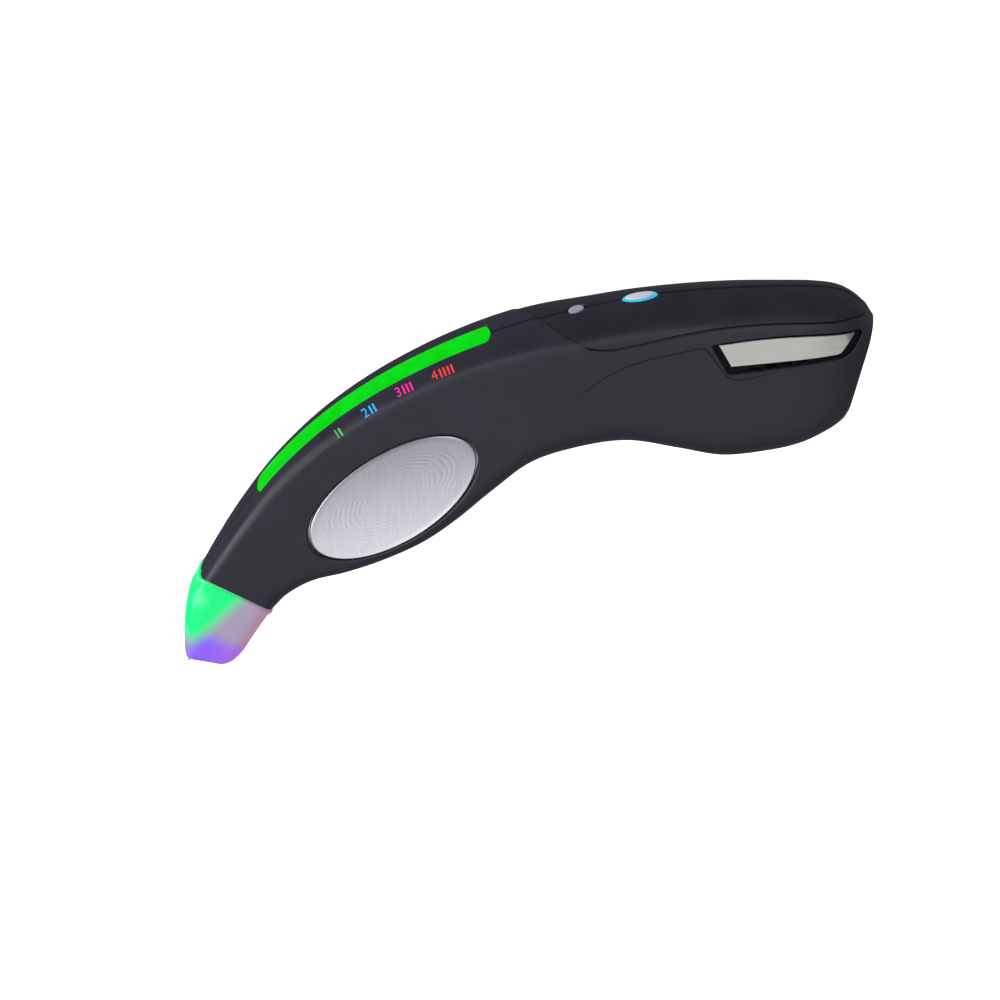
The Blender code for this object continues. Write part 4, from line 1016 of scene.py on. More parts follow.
def add_mottle(tree, shader, point, scale, colors, roughnesses):
    """Colour and roughness from the mottle group."""
    node = group_node(tree, mottle_group, point, scale)
    for letter, color, roughness in zip("AB", colors, roughnesses):
        feed(tree, node.inputs["Color " + letter], color)
        node.inputs["Roughness " + letter].default_value = roughness
    tree.links.new(node.outputs["Color"], shader.inputs["Base Color"])
    tree.links.new(node.outputs["Roughness"], shader.inputs["Roughness"])


def add_bump(tree, shader, height, strength, distance):
    """Let a height tilt the surface."""
    node = tree.nodes.new("ShaderNodeBump")
    node.inputs["Strength"].default_value = strength
    node.inputs["Distance"].default_value = distance
    tree.links.new(height, node.inputs["Height"])
    tree.links.new(node.outputs["Normal"], shader.inputs["Normal"])


def moulded(name, color_a, color_b, roughnesses, grain=2600.0, strength=0.25, scale=90.0, specular=0.3):
    """Moulded plastic: clouds of two near colours under a fine grain."""
    material, tree, shader, point = new_material(name, Specular_IOR_Level=specular)
    add_mottle(tree, shader, point, scale, (color_a, color_b), roughnesses)
    height = group_node(tree, grain_group, point, grain).outputs["Height"]
    add_bump(tree, shader, height, strength, GRAIN_DEPTH)
    return material


# %% [markdown]
# ### Plastics
# The housing is injection-moulded plastic, almost black with a hint of blue, with a
# soft sheen and a fine grain. A single flat colour would look like paint, so each
# plastic drifts between two near colours and two near roughnesses. The cover is a
# little darker than the shells, as it is in the photograph.

# %% Plastics
shell_plastic = moulded("shell_plastic", (0.0135, 0.0130, 0.0210), (0.0165, 0.0158, 0.0245), (0.38, 0.46))
cover_plastic = moulded("cover_plastic", (0.0100, 0.0098, 0.0155), (0.0125, 0.0120, 0.0185), (0.36, 0.44))
# A near-black plastic for the sheet that paints the shade at the bottom of the name plate's recess.
recess_shade_black = moulded("recess_shade_black", (0.0022, 0.0022, 0.0030), (0.0035, 0.0034, 0.0045), (0.55, 0.70),
                    specular=0.1)
button_plastic = moulded("button_plastic", (0.21, 0.20, 0.27), (0.25, 0.24, 0.31), (0.32, 0.42))
tray_plastic = moulded("tray_plastic", (0.020, 0.020, 0.021), (0.028, 0.028, 0.029), (0.5, 0.65))
chip_plastic = moulded("chip_plastic", (0.012, 0.012, 0.013), (0.020, 0.020, 0.021), (0.45, 0.6))
holder_plastic = moulded("holder_plastic", (0.50, 0.50, 0.47), (0.58, 0.58, 0.55), (0.45, 0.6))
print(len(bpy.data.materials), "plastics so far")

# %% [markdown]
# ### Lit plastics
# The light bar, the ring round the power button and the lamps shine from inside. Real
# lamps behind real clear plastic would be slow and noisy to render, so the plastic gives
# off the light itself: a cloudy emission over a dark base, which keeps its gloss.

# %% Lit plastics


def glowing(name, base, glow_a, glow_b, scale=160.0):
    """Clear plastic lit from inside: a cloudy light over a dark base."""
    material, tree, shader, point = new_material(name, Specular_IOR_Level=0.05)
    roughnesses = (0.28, 0.36)
    add_mottle(tree, shader, point, scale, (base, [value * 1.5 for value in base]), roughnesses)
    cloud = ramp_node(tree, noise_node(tree, point, scale * 1.6, 3.0), 0.35, 0.65)
    tree.links.new(mix_colors(tree, cloud, glow_a, glow_b), shader.inputs["Emission Color"])
    shader.inputs["Emission Strength"].default_value = 1.0
    return material


bar_plastic = glowing("bar_plastic", (0.0, 0.006, 0.0), (0.0, 0.66, 0.003), (0.0, 0.76, 0.010))
ring_plastic = glowing("ring_plastic", (0.0, 0.02, 0.04), (0.005, 0.40, 0.78), (0.04, 0.58, 0.84))
lamp_plastic = glowing("lamp_plastic", (0.1, 0.3, 0.1), (0.10, 0.90, 0.25), (0.25, 1.0, 0.45))
violet_lamp_plastic = glowing("violet_lamp_plastic", (0.1, 0.05, 0.3), (0.30, 0.15, 1.0), (0.45, 0.25, 1.0))
print(len(bpy.data.materials), "materials with the lit ones")

# %% [markdown]
# ### Metals
# Brushed metal shows fine lines along the stroke of the brush. Noise that is squeezed in
# one direction gives such lines, and the same noise drives colour, roughness and relief,
# so that they agree. The cap of the power button is only a little metallic, because it
# is a satin plating that stays pale in a dark studio.

# %% Metals
BRUSH_DEPTH = 0.00001


def brushed(name, color_a, color_b, roughnesses, along, lines=900.0, strength=0.15, metallic=1.0):
    """Metal brushed one way: noise drawn out along the direction of the brush."""
    material, tree, shader, point = new_material(name, metallic=metallic)
    stretched = placed(tree, point, Rotation=(0.0, 0.0, along), Scale=(0.03, 1.0, 1.0))
    streaks = noise_node(tree, stretched, lines, 3.0)
    share = ramp_node(tree, streaks, 0.3, 0.7)
    tree.links.new(mix_colors(tree, share, color_a, color_b), shader.inputs["Base Color"])
    span = times(tree, share, roughnesses[1] - roughnesses[0])
    tree.links.new(plus(tree, span, roughnesses[0]), shader.inputs["Roughness"])
    add_bump(tree, shader, streaks, strength, BRUSH_DEPTH)
    return material


name_metal = brushed("name_metal", (0.49, 0.48, 0.44), (0.56, 0.55, 0.51), (0.30, 0.42), 0.15)
cap_metal = brushed("cap_metal", (0.47, 0.47, 0.52), (0.57, 0.56, 0.61), (0.25, 0.35), 0.1, 1500.0,
                    metallic=0.2)
brass = brushed("brass", (0.62, 0.45, 0.20), (0.72, 0.54, 0.26), (0.25, 0.38), 1.0)
copper = brushed("copper", (0.74, 0.38, 0.30), (0.86, 0.48, 0.38), (0.20, 0.32), 1.0)
steel = brushed("steel", (0.42, 0.42, 0.43), (0.55, 0.55, 0.56), (0.25, 0.40), 0.6)
nickel = brushed("nickel", (0.60, 0.58, 0.53), (0.68, 0.66, 0.61), (0.25, 0.38), 0.0)
print(len(bpy.data.materials), "materials with the metals")

# %% [markdown]
# ### Boards and cells
# Two finishes are seen only with the battery door open or in a cutaway. A board is green
# lacquer over copper tracks, drawn by a sine wave that noise breaks up. A cell has a
# black sleeve with a copper-coloured band towards one end.

# %% Boards and cells
TRACK_RADIANS_PER_METER = 5200.0
FOIL_START = 0.0290
FOIL_EDGE = 0.0002


def board_laminate():
    """Green board: rows of fine tracks that show through the lacquer."""
    material, tree, shader, point = new_material("board_laminate", roughness=0.35)
    rows = math_node(tree, "SINE", times(tree, split(tree, point)["Y"], TRACK_RADIANS_PER_METER))
    gaps = noise_node(tree, point, 260.0, 1.0)
    track = times(tree, ramp_node(tree, rows, 0.3, 0.5), ramp_node(tree, gaps, 0.50, 0.54))
    color = mix_colors(tree, track, (0.012, 0.110, 0.040), (0.030, 0.190, 0.075))
    tree.links.new(color, shader.inputs["Base Color"])
    add_bump(tree, shader, track, 0.4, GRAIN_DEPTH)
    return material


def cell_wrap():
    """A cell's printed sleeve, black with a copper-coloured band."""
    material, tree, shader, point = new_material("cell_wrap", roughness=0.3, metallic=0.6)
    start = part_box("cell_1")[0].x + FOIL_START
    band = ramp_node(tree, split(tree, point)["X"], start, start + FOIL_EDGE)
    cloud = ramp_node(tree, noise_node(tree, point, 200.0, 3.0), 0.3, 0.7)
    sleeve = mix_colors(tree, cloud, (0.020, 0.019, 0.018), (0.035, 0.033, 0.030))
    foil = mix_colors(tree, cloud, (0.50, 0.26, 0.10), (0.60, 0.33, 0.14))
    tree.links.new(mix_colors(tree, band, sleeve, foil), shader.inputs["Base Color"])
    return material


board_green = board_laminate()
cell_sleeve = cell_wrap()
print(len(bpy.data.materials), "materials with the board and the sleeve")

# %% [markdown]
# ## The shells
# The two shells are the left and the right half of the housing. Screws go in from the
# right, down deep round seats, and bite in pilot bosses on the left. A boss is a round
# column inside the shell. It could end at a measured height, but the wall is curved, so
# each one asks the skin how far it may go and stops in the middle of the wall.

# %% Screws, bosses and posts
SCREW_COUNT = 5
SCREW_SEAT = 0.0045
SCREW_RADIUS = 0.0010
SCREW_HEAD_RADIUS = 0.0019
SCREW_BITE = 0.0065
BOSS_RADIUS = 0.0032
PILOT_BOSS_RADIUS = 0.0023
BOARD_THICKNESS = 0.0008
POST_RADIUS = 0.0016
SCREW_LIP = 0.0004
BOSS_SIDES = 24
BOSS_CHECKS = 8
WAY_SIDES = 32
post_shares = ((-0.510, -0.378), (-0.297, 0.000))
side_names = {1: "left", -1: "right"}


def screw_places():
    """Places of the case screws in the profile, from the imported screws."""
    places = []
    for number in range(SCREW_COUNT):
        low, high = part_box("case_screw_%d" % (number + 1))
        places.append(Vector(((low.x + high.x) / 2, (low.y + high.y) / 2, 0.0)))
    return places


def boss_end(spot, radius):
    """Where a boss ends inside the wall, also at the side where the skin falls away."""
    around = [spot + Vector((radius * math.cos(angle), radius * math.sin(angle), 0.0))
              for angle in (math.tau * part / BOSS_CHECKS for part in range(BOSS_CHECKS))]
    return min(skin(point.x, point.y) for point in around) - WALL / 2


def bosses(side, places, radius, foot):
    """Round bosses from near the divided plane to the shell's wall."""
    bm = bmesh.new()
    for spot in places:
        axes = side_axes(spot.x, spot.y, side)
        turned(axes, ((foot, radius), (boss_end(spot, radius), radius)), bm=bm, sides=BOSS_SIDES)
    return bm


def screw_ways(side):
    """Holes for the screws: pilot holes on the left, deep seats on the right."""
    bm = bmesh.new()
    way = SCREW_RADIUS + CLEARANCE
    seat = SCREW_HEAD_RADIUS + CLEARANCE
    for spot in screw_places():
        axes = side_axes(spot.x, spot.y, side)
        steps = ((-OVERRUN, way), (SCREW_BITE + CLEARANCE, way))
        if side < 0:
            face = skin(spot.x, spot.y)
            mouth = seat + SCREW_LIP * 3
            steps = ((-OVERRUN, way), (SCREW_SEAT, way), (SCREW_SEAT, seat), (face - SCREW_LIP, seat),
                     (face + SCREW_LIP * 2, mouth), (HALF_WIDTH + OVERRUN, mouth))
        turned(axes, steps, bm=bm, sides=WAY_SIDES)
    return bm


print("screws at x", [round(spot.x * 1000, 1) for spot in screw_places()], "mm")

# %% [markdown]
# ### Openings for sound and light
# Four short slots under the name plate let the sounder be heard, and a long opening in
# the crest holds the light bar. The bar's ends are round in the photograph, but flatter
# than a half circle. Its width is therefore worked out station by station along the
# crest, and the opening and the bar take their stations from the same function.

# %% Slots and the bar's opening
SLOT_COUNT = 4
SLOT_LENGTH = 0.0026
SLOT_WIDTH = 0.0009
SLOT_PITCH = 0.0038
SLOT_X_SHARE = 0.201
SLOT_Y_SHARE = 0.1353
SLOT_RISE_SHARE = 0.16
BAR_FROM_SHARE = 0.1475
BAR_TO_SHARE = 0.4225
BAR_WIDTH = 0.0088
BAR_END_ROUND = 0.0018
BAR_END_LOST = 0.0038
BAR_LIP = 0.0004
BAR_STEPS = 44
BAR_END_STEPS = 9
BAR_MEASURES = 60


def sound_slots():
    """The slots that let the sounder be heard."""
    bm = bmesh.new()
    for number in range(SLOT_COUNT):
        x = LENGTH * SLOT_X_SHARE + SLOT_PITCH * number
        y = HEIGHT * SLOT_Y_SHARE + SLOT_PITCH * number * SLOT_RISE_SHARE
        half = Vector((SLOT_LENGTH / 2, SLOT_WIDTH / 2, (WALL + OVERRUN) / 2))
        block(Matrix.Translation((x, y, skin(x, y) - WALL / 2)), -half, half, bm=bm)
    return bm


def bar_stations(grow):
    """Positions along the light bar, each with the width lost on both sides to the round ends."""
    span = BAR_TO_SHARE - BAR_FROM_SHARE
    spots = [crest(BAR_FROM_SHARE + span * step / BAR_MEASURES) for step in range(BAR_MEASURES + 1)]
    length = sum((after - before).length for before, after in zip(spots, spots[1:]))
    whole = length + grow * 2
    stops = [BAR_END_ROUND * (1 - math.cos(math.pi / 2 * step / BAR_END_STEPS))
             for step in range(BAR_END_STEPS)]
    middle = [BAR_END_ROUND + (whole - BAR_END_ROUND * 2) * step / BAR_STEPS for step in range(BAR_STEPS + 1)]
    stations = []
    for along in stops + middle + [whole - stop for stop in stops[::-1]]:
        share = 1 - min(along, whole - along, BAR_END_ROUND) / BAR_END_ROUND
        lost = BAR_END_LOST * (1 - math.sqrt(1 - share ** 2))
        stations.append((BAR_FROM_SHARE + span * (along - grow) / length, lost))
    return stations


def bar_hole():
    """The opening for the light bar, with a sloping lip."""
    rings = []
    grow = CLEARANCE
    for position, lost in bar_stations(grow):
        axes = crest_axes(position)
        side = BAR_WIDTH / 2 + grow - lost
        ring = ((OVERRUN, side + OVERRUN), (-BAR_LIP, side), (-WALL - OVERRUN / 2, side))
        ring = ring + tuple((y, -z) for y, z in ring[::-1])
        rings.append([axes @ Vector((0.0, y, z)) for y, z in ring])
    return bridge(rings)


print("the bar's opening has", len(bar_stations(CLEARANCE)), "stations")

# %% [markdown]
# ### The recess and the crease
# Each side of the handle has a shallow recess for the name plate, with a chamfered edge,
# and a fine crease that sets the side panel off and runs round the recess. The crease is
# part of the mould, not a seam, so it is shallow and fades out at both ends.

# %% Recess and crease
CREASE_FADE = 10
crease_shares = (
    (-0.0718, 0.0331), (-0.0519, 0.0709), (-0.0291, 0.1079), (-0.0059, 0.1333), (0.0148, 0.1533),
    (0.0386, 0.1689), (0.0623, 0.1806), (0.0919, 0.1939), (0.1157, 0.2033), (0.1257, 0.2050),
    (0.1299, 0.1956), (0.1388, 0.1700), (0.1495, 0.1400), (0.1572, 0.1194), (0.1643, 0.1094),
    (0.1744, 0.1072), (0.1898, 0.1106), (0.2135, 0.1211), (0.2491, 0.1356),
)


def name_recess(side):
    """The shallow pocket for the name plate, open to the outside."""
    outline = rounded_outline(name_recess_shares, name_recess_radii)
    return skin_slab(outline, side, NAME_RECESS, -OVERRUN)


def recess_seam(side):
    """The chamfer round the recess's edge."""
    outline = rounded_outline(name_recess_shares, name_recess_radii)
    points = [on_skin(point.x, point.y, side) for point in outline]
    return seam(points, RECESS_GROOVE, closed=True)


def crease(side):
    """The fine line that sets the handle's side panel off and goes round the recess."""
    spots = even_path([plane_point(*share) for share in crease_shares], SEAM_SPACING)
    points = [on_skin(spot.x, spot.y, side) for spot in spots]
    return seam(points, CREASE_GROOVE, fade=CREASE_FADE)


print("the crease is drawn through", len(crease_shares), "points")

# %% [markdown]
# ### Both shells
# A shell is half of the cup, with its bosses joined on and everything cut away that
# another part fills. Modelling each shell by hand would leave gaps of uneven width.
# Cutting both from one cup with the same cutters keeps every gap as wide as the named
# clearance.

# %% The left and right shells
CREST_STEPS = 120
BELLY_SEAM_STEPS = 80
crest_groove_shares = (-0.02, 0.53)


def shell(side):
    """One of the two shells, ready to dress."""
    item = cup("shell_" + side_names[side])
    plate_edge = [oval(widened(CLEARANCE), side, drop) for drop in (-OVERRUN, WALL + OVERRUN)]
    steps = [("INTERSECT", half_space(side)),
             ("UNION", bosses(side, screw_places(), PILOT_BOSS_RADIUS if side > 0 else BOSS_RADIUS,
                              CLEARANCE / 2))]
    if side < 0:
        posts = [plane_point(*share) for share in post_shares]
        steps.append(("UNION", bosses(side, posts, POST_RADIUS, BOARD_THICKNESS / 2 + CLEARANCE)))
    cuts = [screw_ways(side), cover_space(CLEARANCE), door_space(CLEARANCE), bar_hole(),
            bridge(plate_edge), name_recess(side)]
    if side > 0:
        cuts.append(sound_slots())
    cuts += [
        groove(*crest_path(*crest_groove_shares, CREST_STEPS), *CREST_GROOVE),
        groove(*belly_path(0.0, hinge_position(), BELLY_SEAM_STEPS), *BELLY_GROOVE),
        seam(cover_rim, closed=True), seam(door_edge(side)),
        seam(oval(widened(CLEARANCE), side, 0.0), PLATE_GROOVE, closed=True),
        recess_seam(side), crease(side),
    ]
    carve(item, *steps, *[("DIFFERENCE", bm) for bm in cuts])
    node = side_names[side] + "_shell"
    return finish_piece(item, "housing", shell_plastic, (node,))


for side in (1, -1):
    shell(side)

# %% [markdown]
# ## The cover and the door
# The top cover closes the handle's roof and carries both buttons. It sits a hair lower
# than the shells, as the step in the photograph's outline shows, and a groove runs along
# its middle through the buttons' holes. The battery door is the belly of the handle and
# swings on its hinge. Both are what is left of the cup inside their own region.

# %% Cover and door
COVER_SINK = 0.0003
COVER_CREST_STEPS = 110
HOLE_LIP = 0.00015
cover_groove_shares = (0.40, 1.02)
POWER_PLACE_SHARE = 0.599
POWER_LENGTH = 0.0072
POWER_WIDTH = 0.0035
RING_WIDTH = 0.00090
LIGHT_BUTTON_PLACE_SHARE = 0.524
LIGHT_BUTTON_RADIUS = 0.0020


def top_cover():
    """The sunk cover with the holes for its buttons and the groove along its middle."""
    cover = cup("cover_shell", COVER_SINK)
    lip = -HOLE_LIP - COVER_SINK
    outset = RING_WIDTH + CLEARANCE
    steps = ((OVERRUN, outset + OVERRUN), (lip, outset), (-WALL - OVERRUN, outset))
    power_hole = bridge(oval_rings(crest_axes(POWER_PLACE_SHARE), steps, POWER_LENGTH / 2, POWER_WIDTH / 2))
    radius = LIGHT_BUTTON_RADIUS + CLEARANCE
    steps = ((OVERRUN, radius + OVERRUN), (lip, radius), (-WALL - OVERRUN, radius))
    light_hole = turned(crest_axes(LIGHT_BUTTON_PLACE_SHARE), steps)
    middle_groove = groove(*crest_path(*cover_groove_shares, COVER_CREST_STEPS, COVER_SINK), *COVER_GROOVE)
    carve(cover, ("INTERSECT", cover_space(0.0)), ("DIFFERENCE", power_hole), ("DIFFERENCE", light_hole),
          ("DIFFERENCE", seam(cover_rim, closed=True)), ("DIFFERENCE", middle_groove))
    return finish_piece(cover, "housing", cover_plastic, ("top_cover",))


def battery_door():
    """The belly of the handle, with the same seam along both of its long edges."""
    door = cup("door_shell")
    seams = [("DIFFERENCE", seam(door_edge(side))) for side in (1, -1)]
    carve(door, ("INTERSECT", door_space(0.0)), *seams)
    return finish_piece(door, "battery_door", shell_plastic, ("battery_door",))


top_cover()
battery_door()

# %% [markdown]
# ## The light bar
# The bar is a strip of clear plastic with round ends, lit green by the lamps under it.
# Its top is crowned, which means that it falls off towards its edges. A few points
# across, each with its drop, are enough for that, because the shading is smooth.

# %% Light bar
BAR_PROUD = 0.0002
BAR_END_DIP = 0.0003

# Shares across half the bar, each with its drop below the bar's top
half_crown = ((0.0, 0.0), (0.4, 0.0), (0.75, 0.00004), (0.93, 0.00012), (1.0, 0.00045))


def light_bar():
    """A crowned strip along the crest, thick as the wall."""
    crown = [(-share, drop) for share, drop in half_crown[:0:-1]] + list(half_crown)
    rings = []
    for position, lost in bar_stations(0.0):
        axes = crest_axes(position)
        side = BAR_WIDTH / 2 - lost
        dip = BAR_END_DIP * (lost / BAR_END_LOST) ** 2
        ring = [axes @ Vector((0.0, BAR_PROUD - drop - dip, side * share)) for share, drop in crown]
        ring += [axes @ Vector((0.0, -WALL, side * share)) for share in (1.0, -1.0)]
        rings.append(ring)
    item = make_object("light_bar", bridge(rings))
    return finish_piece(item, "housing", bar_plastic, ("indicator_bar",))


light_bar()

# %% [markdown]
# ## Buttons
# The power button is an oval satin cap inside a ring of lit plastic, and the round one
# in front of it is a plain lilac button. Each is a stack of rings about the direction
# that points out of the roof. An arc of a few rings gives the rounded edge that catches
# the light, which a sharp cylinder wouldn't.

# %% Buttons
BUTTON_PROUD = 0.0001
LIGHT_BUTTON_PROUD = -0.00005
BUTTON_FLANGE = 0.0006
RING_PROUD = -0.00042
RING_SEAT = 0.0026
RING_EDGE = 0.0001
BUTTON_EDGE = 0.0004
BUTTON_HOLLOW = 0.00008
DOME_SPREAD_SHARE = 1.6
PLUNGER_DEPTH = RING_SEAT + BUTTON_FLANGE * 2 + CLEARANCE


def dome(proud, edge, steps=6):
    """Distance and outset pairs of a rounded top, from its middle to its edge."""
    pairs = []
    for step in range(steps + 1):
        angle = math.pi / 2 * step / steps
        outset = -edge * DOME_SPREAD_SHARE * (1 - math.sin(angle))
        pairs.append((proud - edge + edge * math.cos(angle), outset))
    return pairs


def power_button():
    """The oval cap, and the lit ring that stays in the cover when the cap is pressed."""
    axes = crest_axes(POWER_PLACE_SHARE)
    steps = [(BUTTON_PROUD, -POWER_WIDTH / 2 * 0.95), (BUTTON_PROUD, -POWER_WIDTH / 2 * 0.6)]
    steps += dome(BUTTON_PROUD, BUTTON_EDGE) + [(-RING_SEAT, 0.0)]
    cap = make_object("power_cap", bridge(oval_rings(axes, steps, POWER_LENGTH / 2, POWER_WIDTH / 2)))
    finish_piece(cap, "power_button", cap_metal, ("power_button",))
    inner = CLEARANCE
    ring_steps = ((-RING_SEAT, inner), (RING_PROUD - RING_EDGE * 3, inner),
                  (RING_PROUD, inner + RING_EDGE * 2), (RING_PROUD + RING_EDGE * 0.8, RING_WIDTH * 0.6),
                  (RING_PROUD - RING_EDGE, RING_WIDTH * 0.88), (RING_PROUD - RING_EDGE * 4, RING_WIDTH),
                  (-RING_SEAT, RING_WIDTH))
    rings = oval_rings(axes, ring_steps, POWER_LENGTH / 2, POWER_WIDTH / 2)
    ring = make_object("power_ring_lit", bridge(rings, closed=True))
    finish_piece(ring, "housing", ring_plastic, ("power_ring",))


def light_button():
    """A round button, slightly hollow, with its plunger."""
    axes = crest_axes(LIGHT_BUTTON_PLACE_SHARE)
    radius = LIGHT_BUTTON_RADIUS
    steps = [(LIGHT_BUTTON_PROUD - BUTTON_HOLLOW, radius * 0.04),
             (LIGHT_BUTTON_PROUD - BUTTON_HOLLOW * 0.625, radius * 0.5)]
    steps += [(distance, radius + outset) for distance, outset in dome(LIGHT_BUTTON_PROUD, BUTTON_EDGE)]
    steps += [(-WALL - CLEARANCE, radius), (-WALL - CLEARANCE, radius * 0.6), (-PLUNGER_DEPTH, radius * 0.6)]
    button = make_object("light_cap", turned(axes, steps))
    finish_piece(button, "light_button", button_plastic, ("light_button",))


power_button()
light_button()

# %% [markdown]
# ## Touch plates
# A touch plate is a shallow oval dish of brushed metal, where the user's finger closes
# the tester's circuit. Fine ripples, ovals one inside the next, are engraved in it for
# grip. They are too fine to model, so a sine wave of the distance from the middle drives
# a Bump node, and noise makes the ovals waver.

# %% Plate metal
RIPPLES = 17
RIPPLE_DEPTH = 0.00006
PLATE_BRUSH_TURN = 0.75


def plate_metal():
    """Brushed metal with engraved oval ripples that fade at the middle and the rim, and painted light and
    shade across the plate.
    """
    material, tree, shader, point = new_material("plate_metal", metallic=1.0)
    size = (LENGTH * PLATE_LONG_SHARE, HEIGHT * PLATE_SHORT_SHARE, 1.0)
    parts = split(tree, placed(tree, point, "TEXTURE", Location=plane_point(PLATE_X_SHARE, PLATE_Y_SHARE),
                               Rotation=(0.0, 0.0, PLATE_TURN), Scale=size))
    flat = tree.nodes.new("ShaderNodeCombineXYZ")
    tree.links.new(parts["X"], flat.inputs["X"])
    tree.links.new(parts["Y"], flat.inputs["Y"])
    place = flat.outputs[0]
    share = length_of(tree, place)
    waver = times(tree, noise_node(tree, place, 3.0, 1.0), 0.10)
    ripple = math_node(tree, "SINE", times(tree, plus(tree, share, waver), math.tau * RIPPLES))
    patchy = ramp_node(tree, noise_node(tree, place, 2.2, 2.0), 0.38, 0.62)
    depth = times(tree, ramp_node(tree, share, 0.15, 0.45), ramp_node(tree, share, 0.86, 0.74), patchy)
    height = times(tree, ripple, depth)
    stretched = placed(tree, point, Rotation=(0.0, 0.0, PLATE_BRUSH_TURN), Scale=(1.0, 0.04, 1.0))
    streaks = noise_node(tree, stretched, 2600.0, 2.0)
    tone = plus(tree, times(tree, streaks, 0.7), times(tree, height, 0.25), clamp=True)
    dark = mix_colors(tree, tone, (0.38, 0.37, 0.41), (0.56, 0.55, 0.59))
    bright = mix_colors(tree, tone, (0.56, 0.55, 0.58), (0.84, 0.83, 0.86))
    # Painted light and shade: the plate is lighter towards its lower front end and darker towards its upper
    # rear end.
    slope = plus(tree, parts["X"], times(tree, parts["Y"], 0.7))
    color = mix_colors(tree, ramp_node(tree, slope, 0.9, -0.9), dark, bright)
    tree.links.new(color, shader.inputs["Base Color"])
    tree.links.new(plus(tree, times(tree, streaks, 0.12), 0.30), shader.inputs["Roughness"])
    add_bump(tree, shader, plus(tree, height, times(tree, streaks, 0.25)), 0.35, RIPPLE_DEPTH)
    return material


brushed_plate = plate_metal()
print(brushed_plate.name, "has", len(brushed_plate.node_tree.nodes), "nodes")

# %% [markdown]
# The dish itself is a set of ovals, each lifted to the skin and sunk a little more
# towards the middle. A wider flange behind the wall keeps the real plate from falling
# out, so the rings go on round it to the back and close the solid there.

# %% Touch plates
PLATE_DISH = 0.0012
PLATE_THICKNESS = 0.0008
PLATE_FLANGE = 0.0010
PLATE_SEAT = 0.0025
PLATE_LIP = 0.00012
DISH_STEPS = 16


def touch_plate(side):
    """A dished oval plate whose rim lies in the shell and whose flange lies behind it."""
    shares = [0.03] + [0.06 + 0.88 * step / DISH_STEPS for step in range(DISH_STEPS + 1)]
    dish = [(share, PLATE_LIP + PLATE_DISH * (1 - share ** 2)) for share in shares]
    rings = [oval(share, side, drop) for share, drop in dish]
    rings += [oval(0.965, side, PLATE_LIP), oval(0.985, side, PLATE_LIP / 2), oval(1.0, side, CLEARANCE)]
    rings += [oval(1.0, side, PLATE_SEAT), oval(widened(PLATE_FLANGE), side, PLATE_SEAT),
              oval(widened(PLATE_FLANGE), side, PLATE_SEAT + PLATE_THICKNESS)]
    inner = widened(-PLATE_THICKNESS)
    rings.append(oval(inner, side, PLATE_SEAT + PLATE_THICKNESS))
    rings += [oval(share * inner, side, drop + PLATE_THICKNESS) for share, drop in dish[::-4]]
    item = make_object("plate_" + side_names[side], bridge(rings))
    node = "touch_plate_" + side_names[side]
    return finish_piece(item, "housing", brushed_plate, (node,))


# %% [markdown]
# ## Name plates
# The plate on the handle is thin brushed metal at the bottom of its recess. Round it lies
# a thin near-black sheet that paints the shade falling in the recess, so the surround is
# darker than the shell. It is so thin that the exact Boolean loses it, so its slots are cut by the fast one.

# %% Name plates
NAME_THICKNESS = 0.0006
NAME_BEVEL = 0.00012
SHADE_SHEET_THICKNESS = 0.00008
SHADE_SHEET_SINK = 0.00012


def name_plate(side):
    """A bare plate with a fine bevel, in its recess."""
    outline = rounded_outline(name_plate_shares, name_plate_radii)
    top = NAME_RECESS - CLEARANCE - NAME_THICKNESS
    low = NAME_RECESS - CLEARANCE
    inner = offset_outline(outline, NAME_BEVEL)
    rings = [[on_skin(point.x, point.y, side, drop) for point in line]
             for line, drop in ((inner, top), (outline, top + NAME_BEVEL), (outline, low))]
    item = make_object("name_" + side_names[side], bridge(rings))
    node = "name_plate_" + side_names[side]
    return finish_piece(item, "housing", name_metal, (node,))


def name_bed(side):
    """A thin near-black sheet under the plate that paints the recess's shade, with the sound slots cut in it.
    """
    outline = offset_outline(rounded_outline(name_recess_shares, name_recess_radii), CLEARANCE / 3)
    bm = skin_slab(outline, side, NAME_RECESS + SHADE_SHEET_SINK, NAME_RECESS - SHADE_SHEET_THICKNESS)
    bmesh.ops.triangulate(bm, faces=bm.faces)
    bmesh.ops.recalc_face_normals(bm, faces=bm.faces)
    item = make_object("name_bed_" + side_names[side], bm)
    if side > 0:
        carve(item, ("DIFFERENCE", sound_slots()), solver="FAST")
    return finish_piece(item, "housing", recess_shade_black)


for side in (1, -1):
    touch_plate(side)
    name_plate(side)
    name_bed(side)

# %% [markdown]
# ## Marks beside the light bar
# Four printed marks tell what the bar's length means. Each is a numeral with as many
# ticks, in its own colour. A printer presses such marks on with a soft pad, so each flat
# mark is laid out square to the pad's stroke, and every point slides along the stroke to
# the skin. A text object would stay flat and sink into the curved roof, so only its
# outline is used, cut into faces small enough to follow the curve.

# %% Flat marks
MARK_SIZE = 0.0034
TICK_WIDTH = 0.00050
TICK_HEIGHT = 0.0022
TICK_PITCH = 0.00105
TICK_GAP_SHARE = 0.6
MARK_FACE = 0.00045
MARK_CUTS = 4
POINTS_MEET = 0.000002


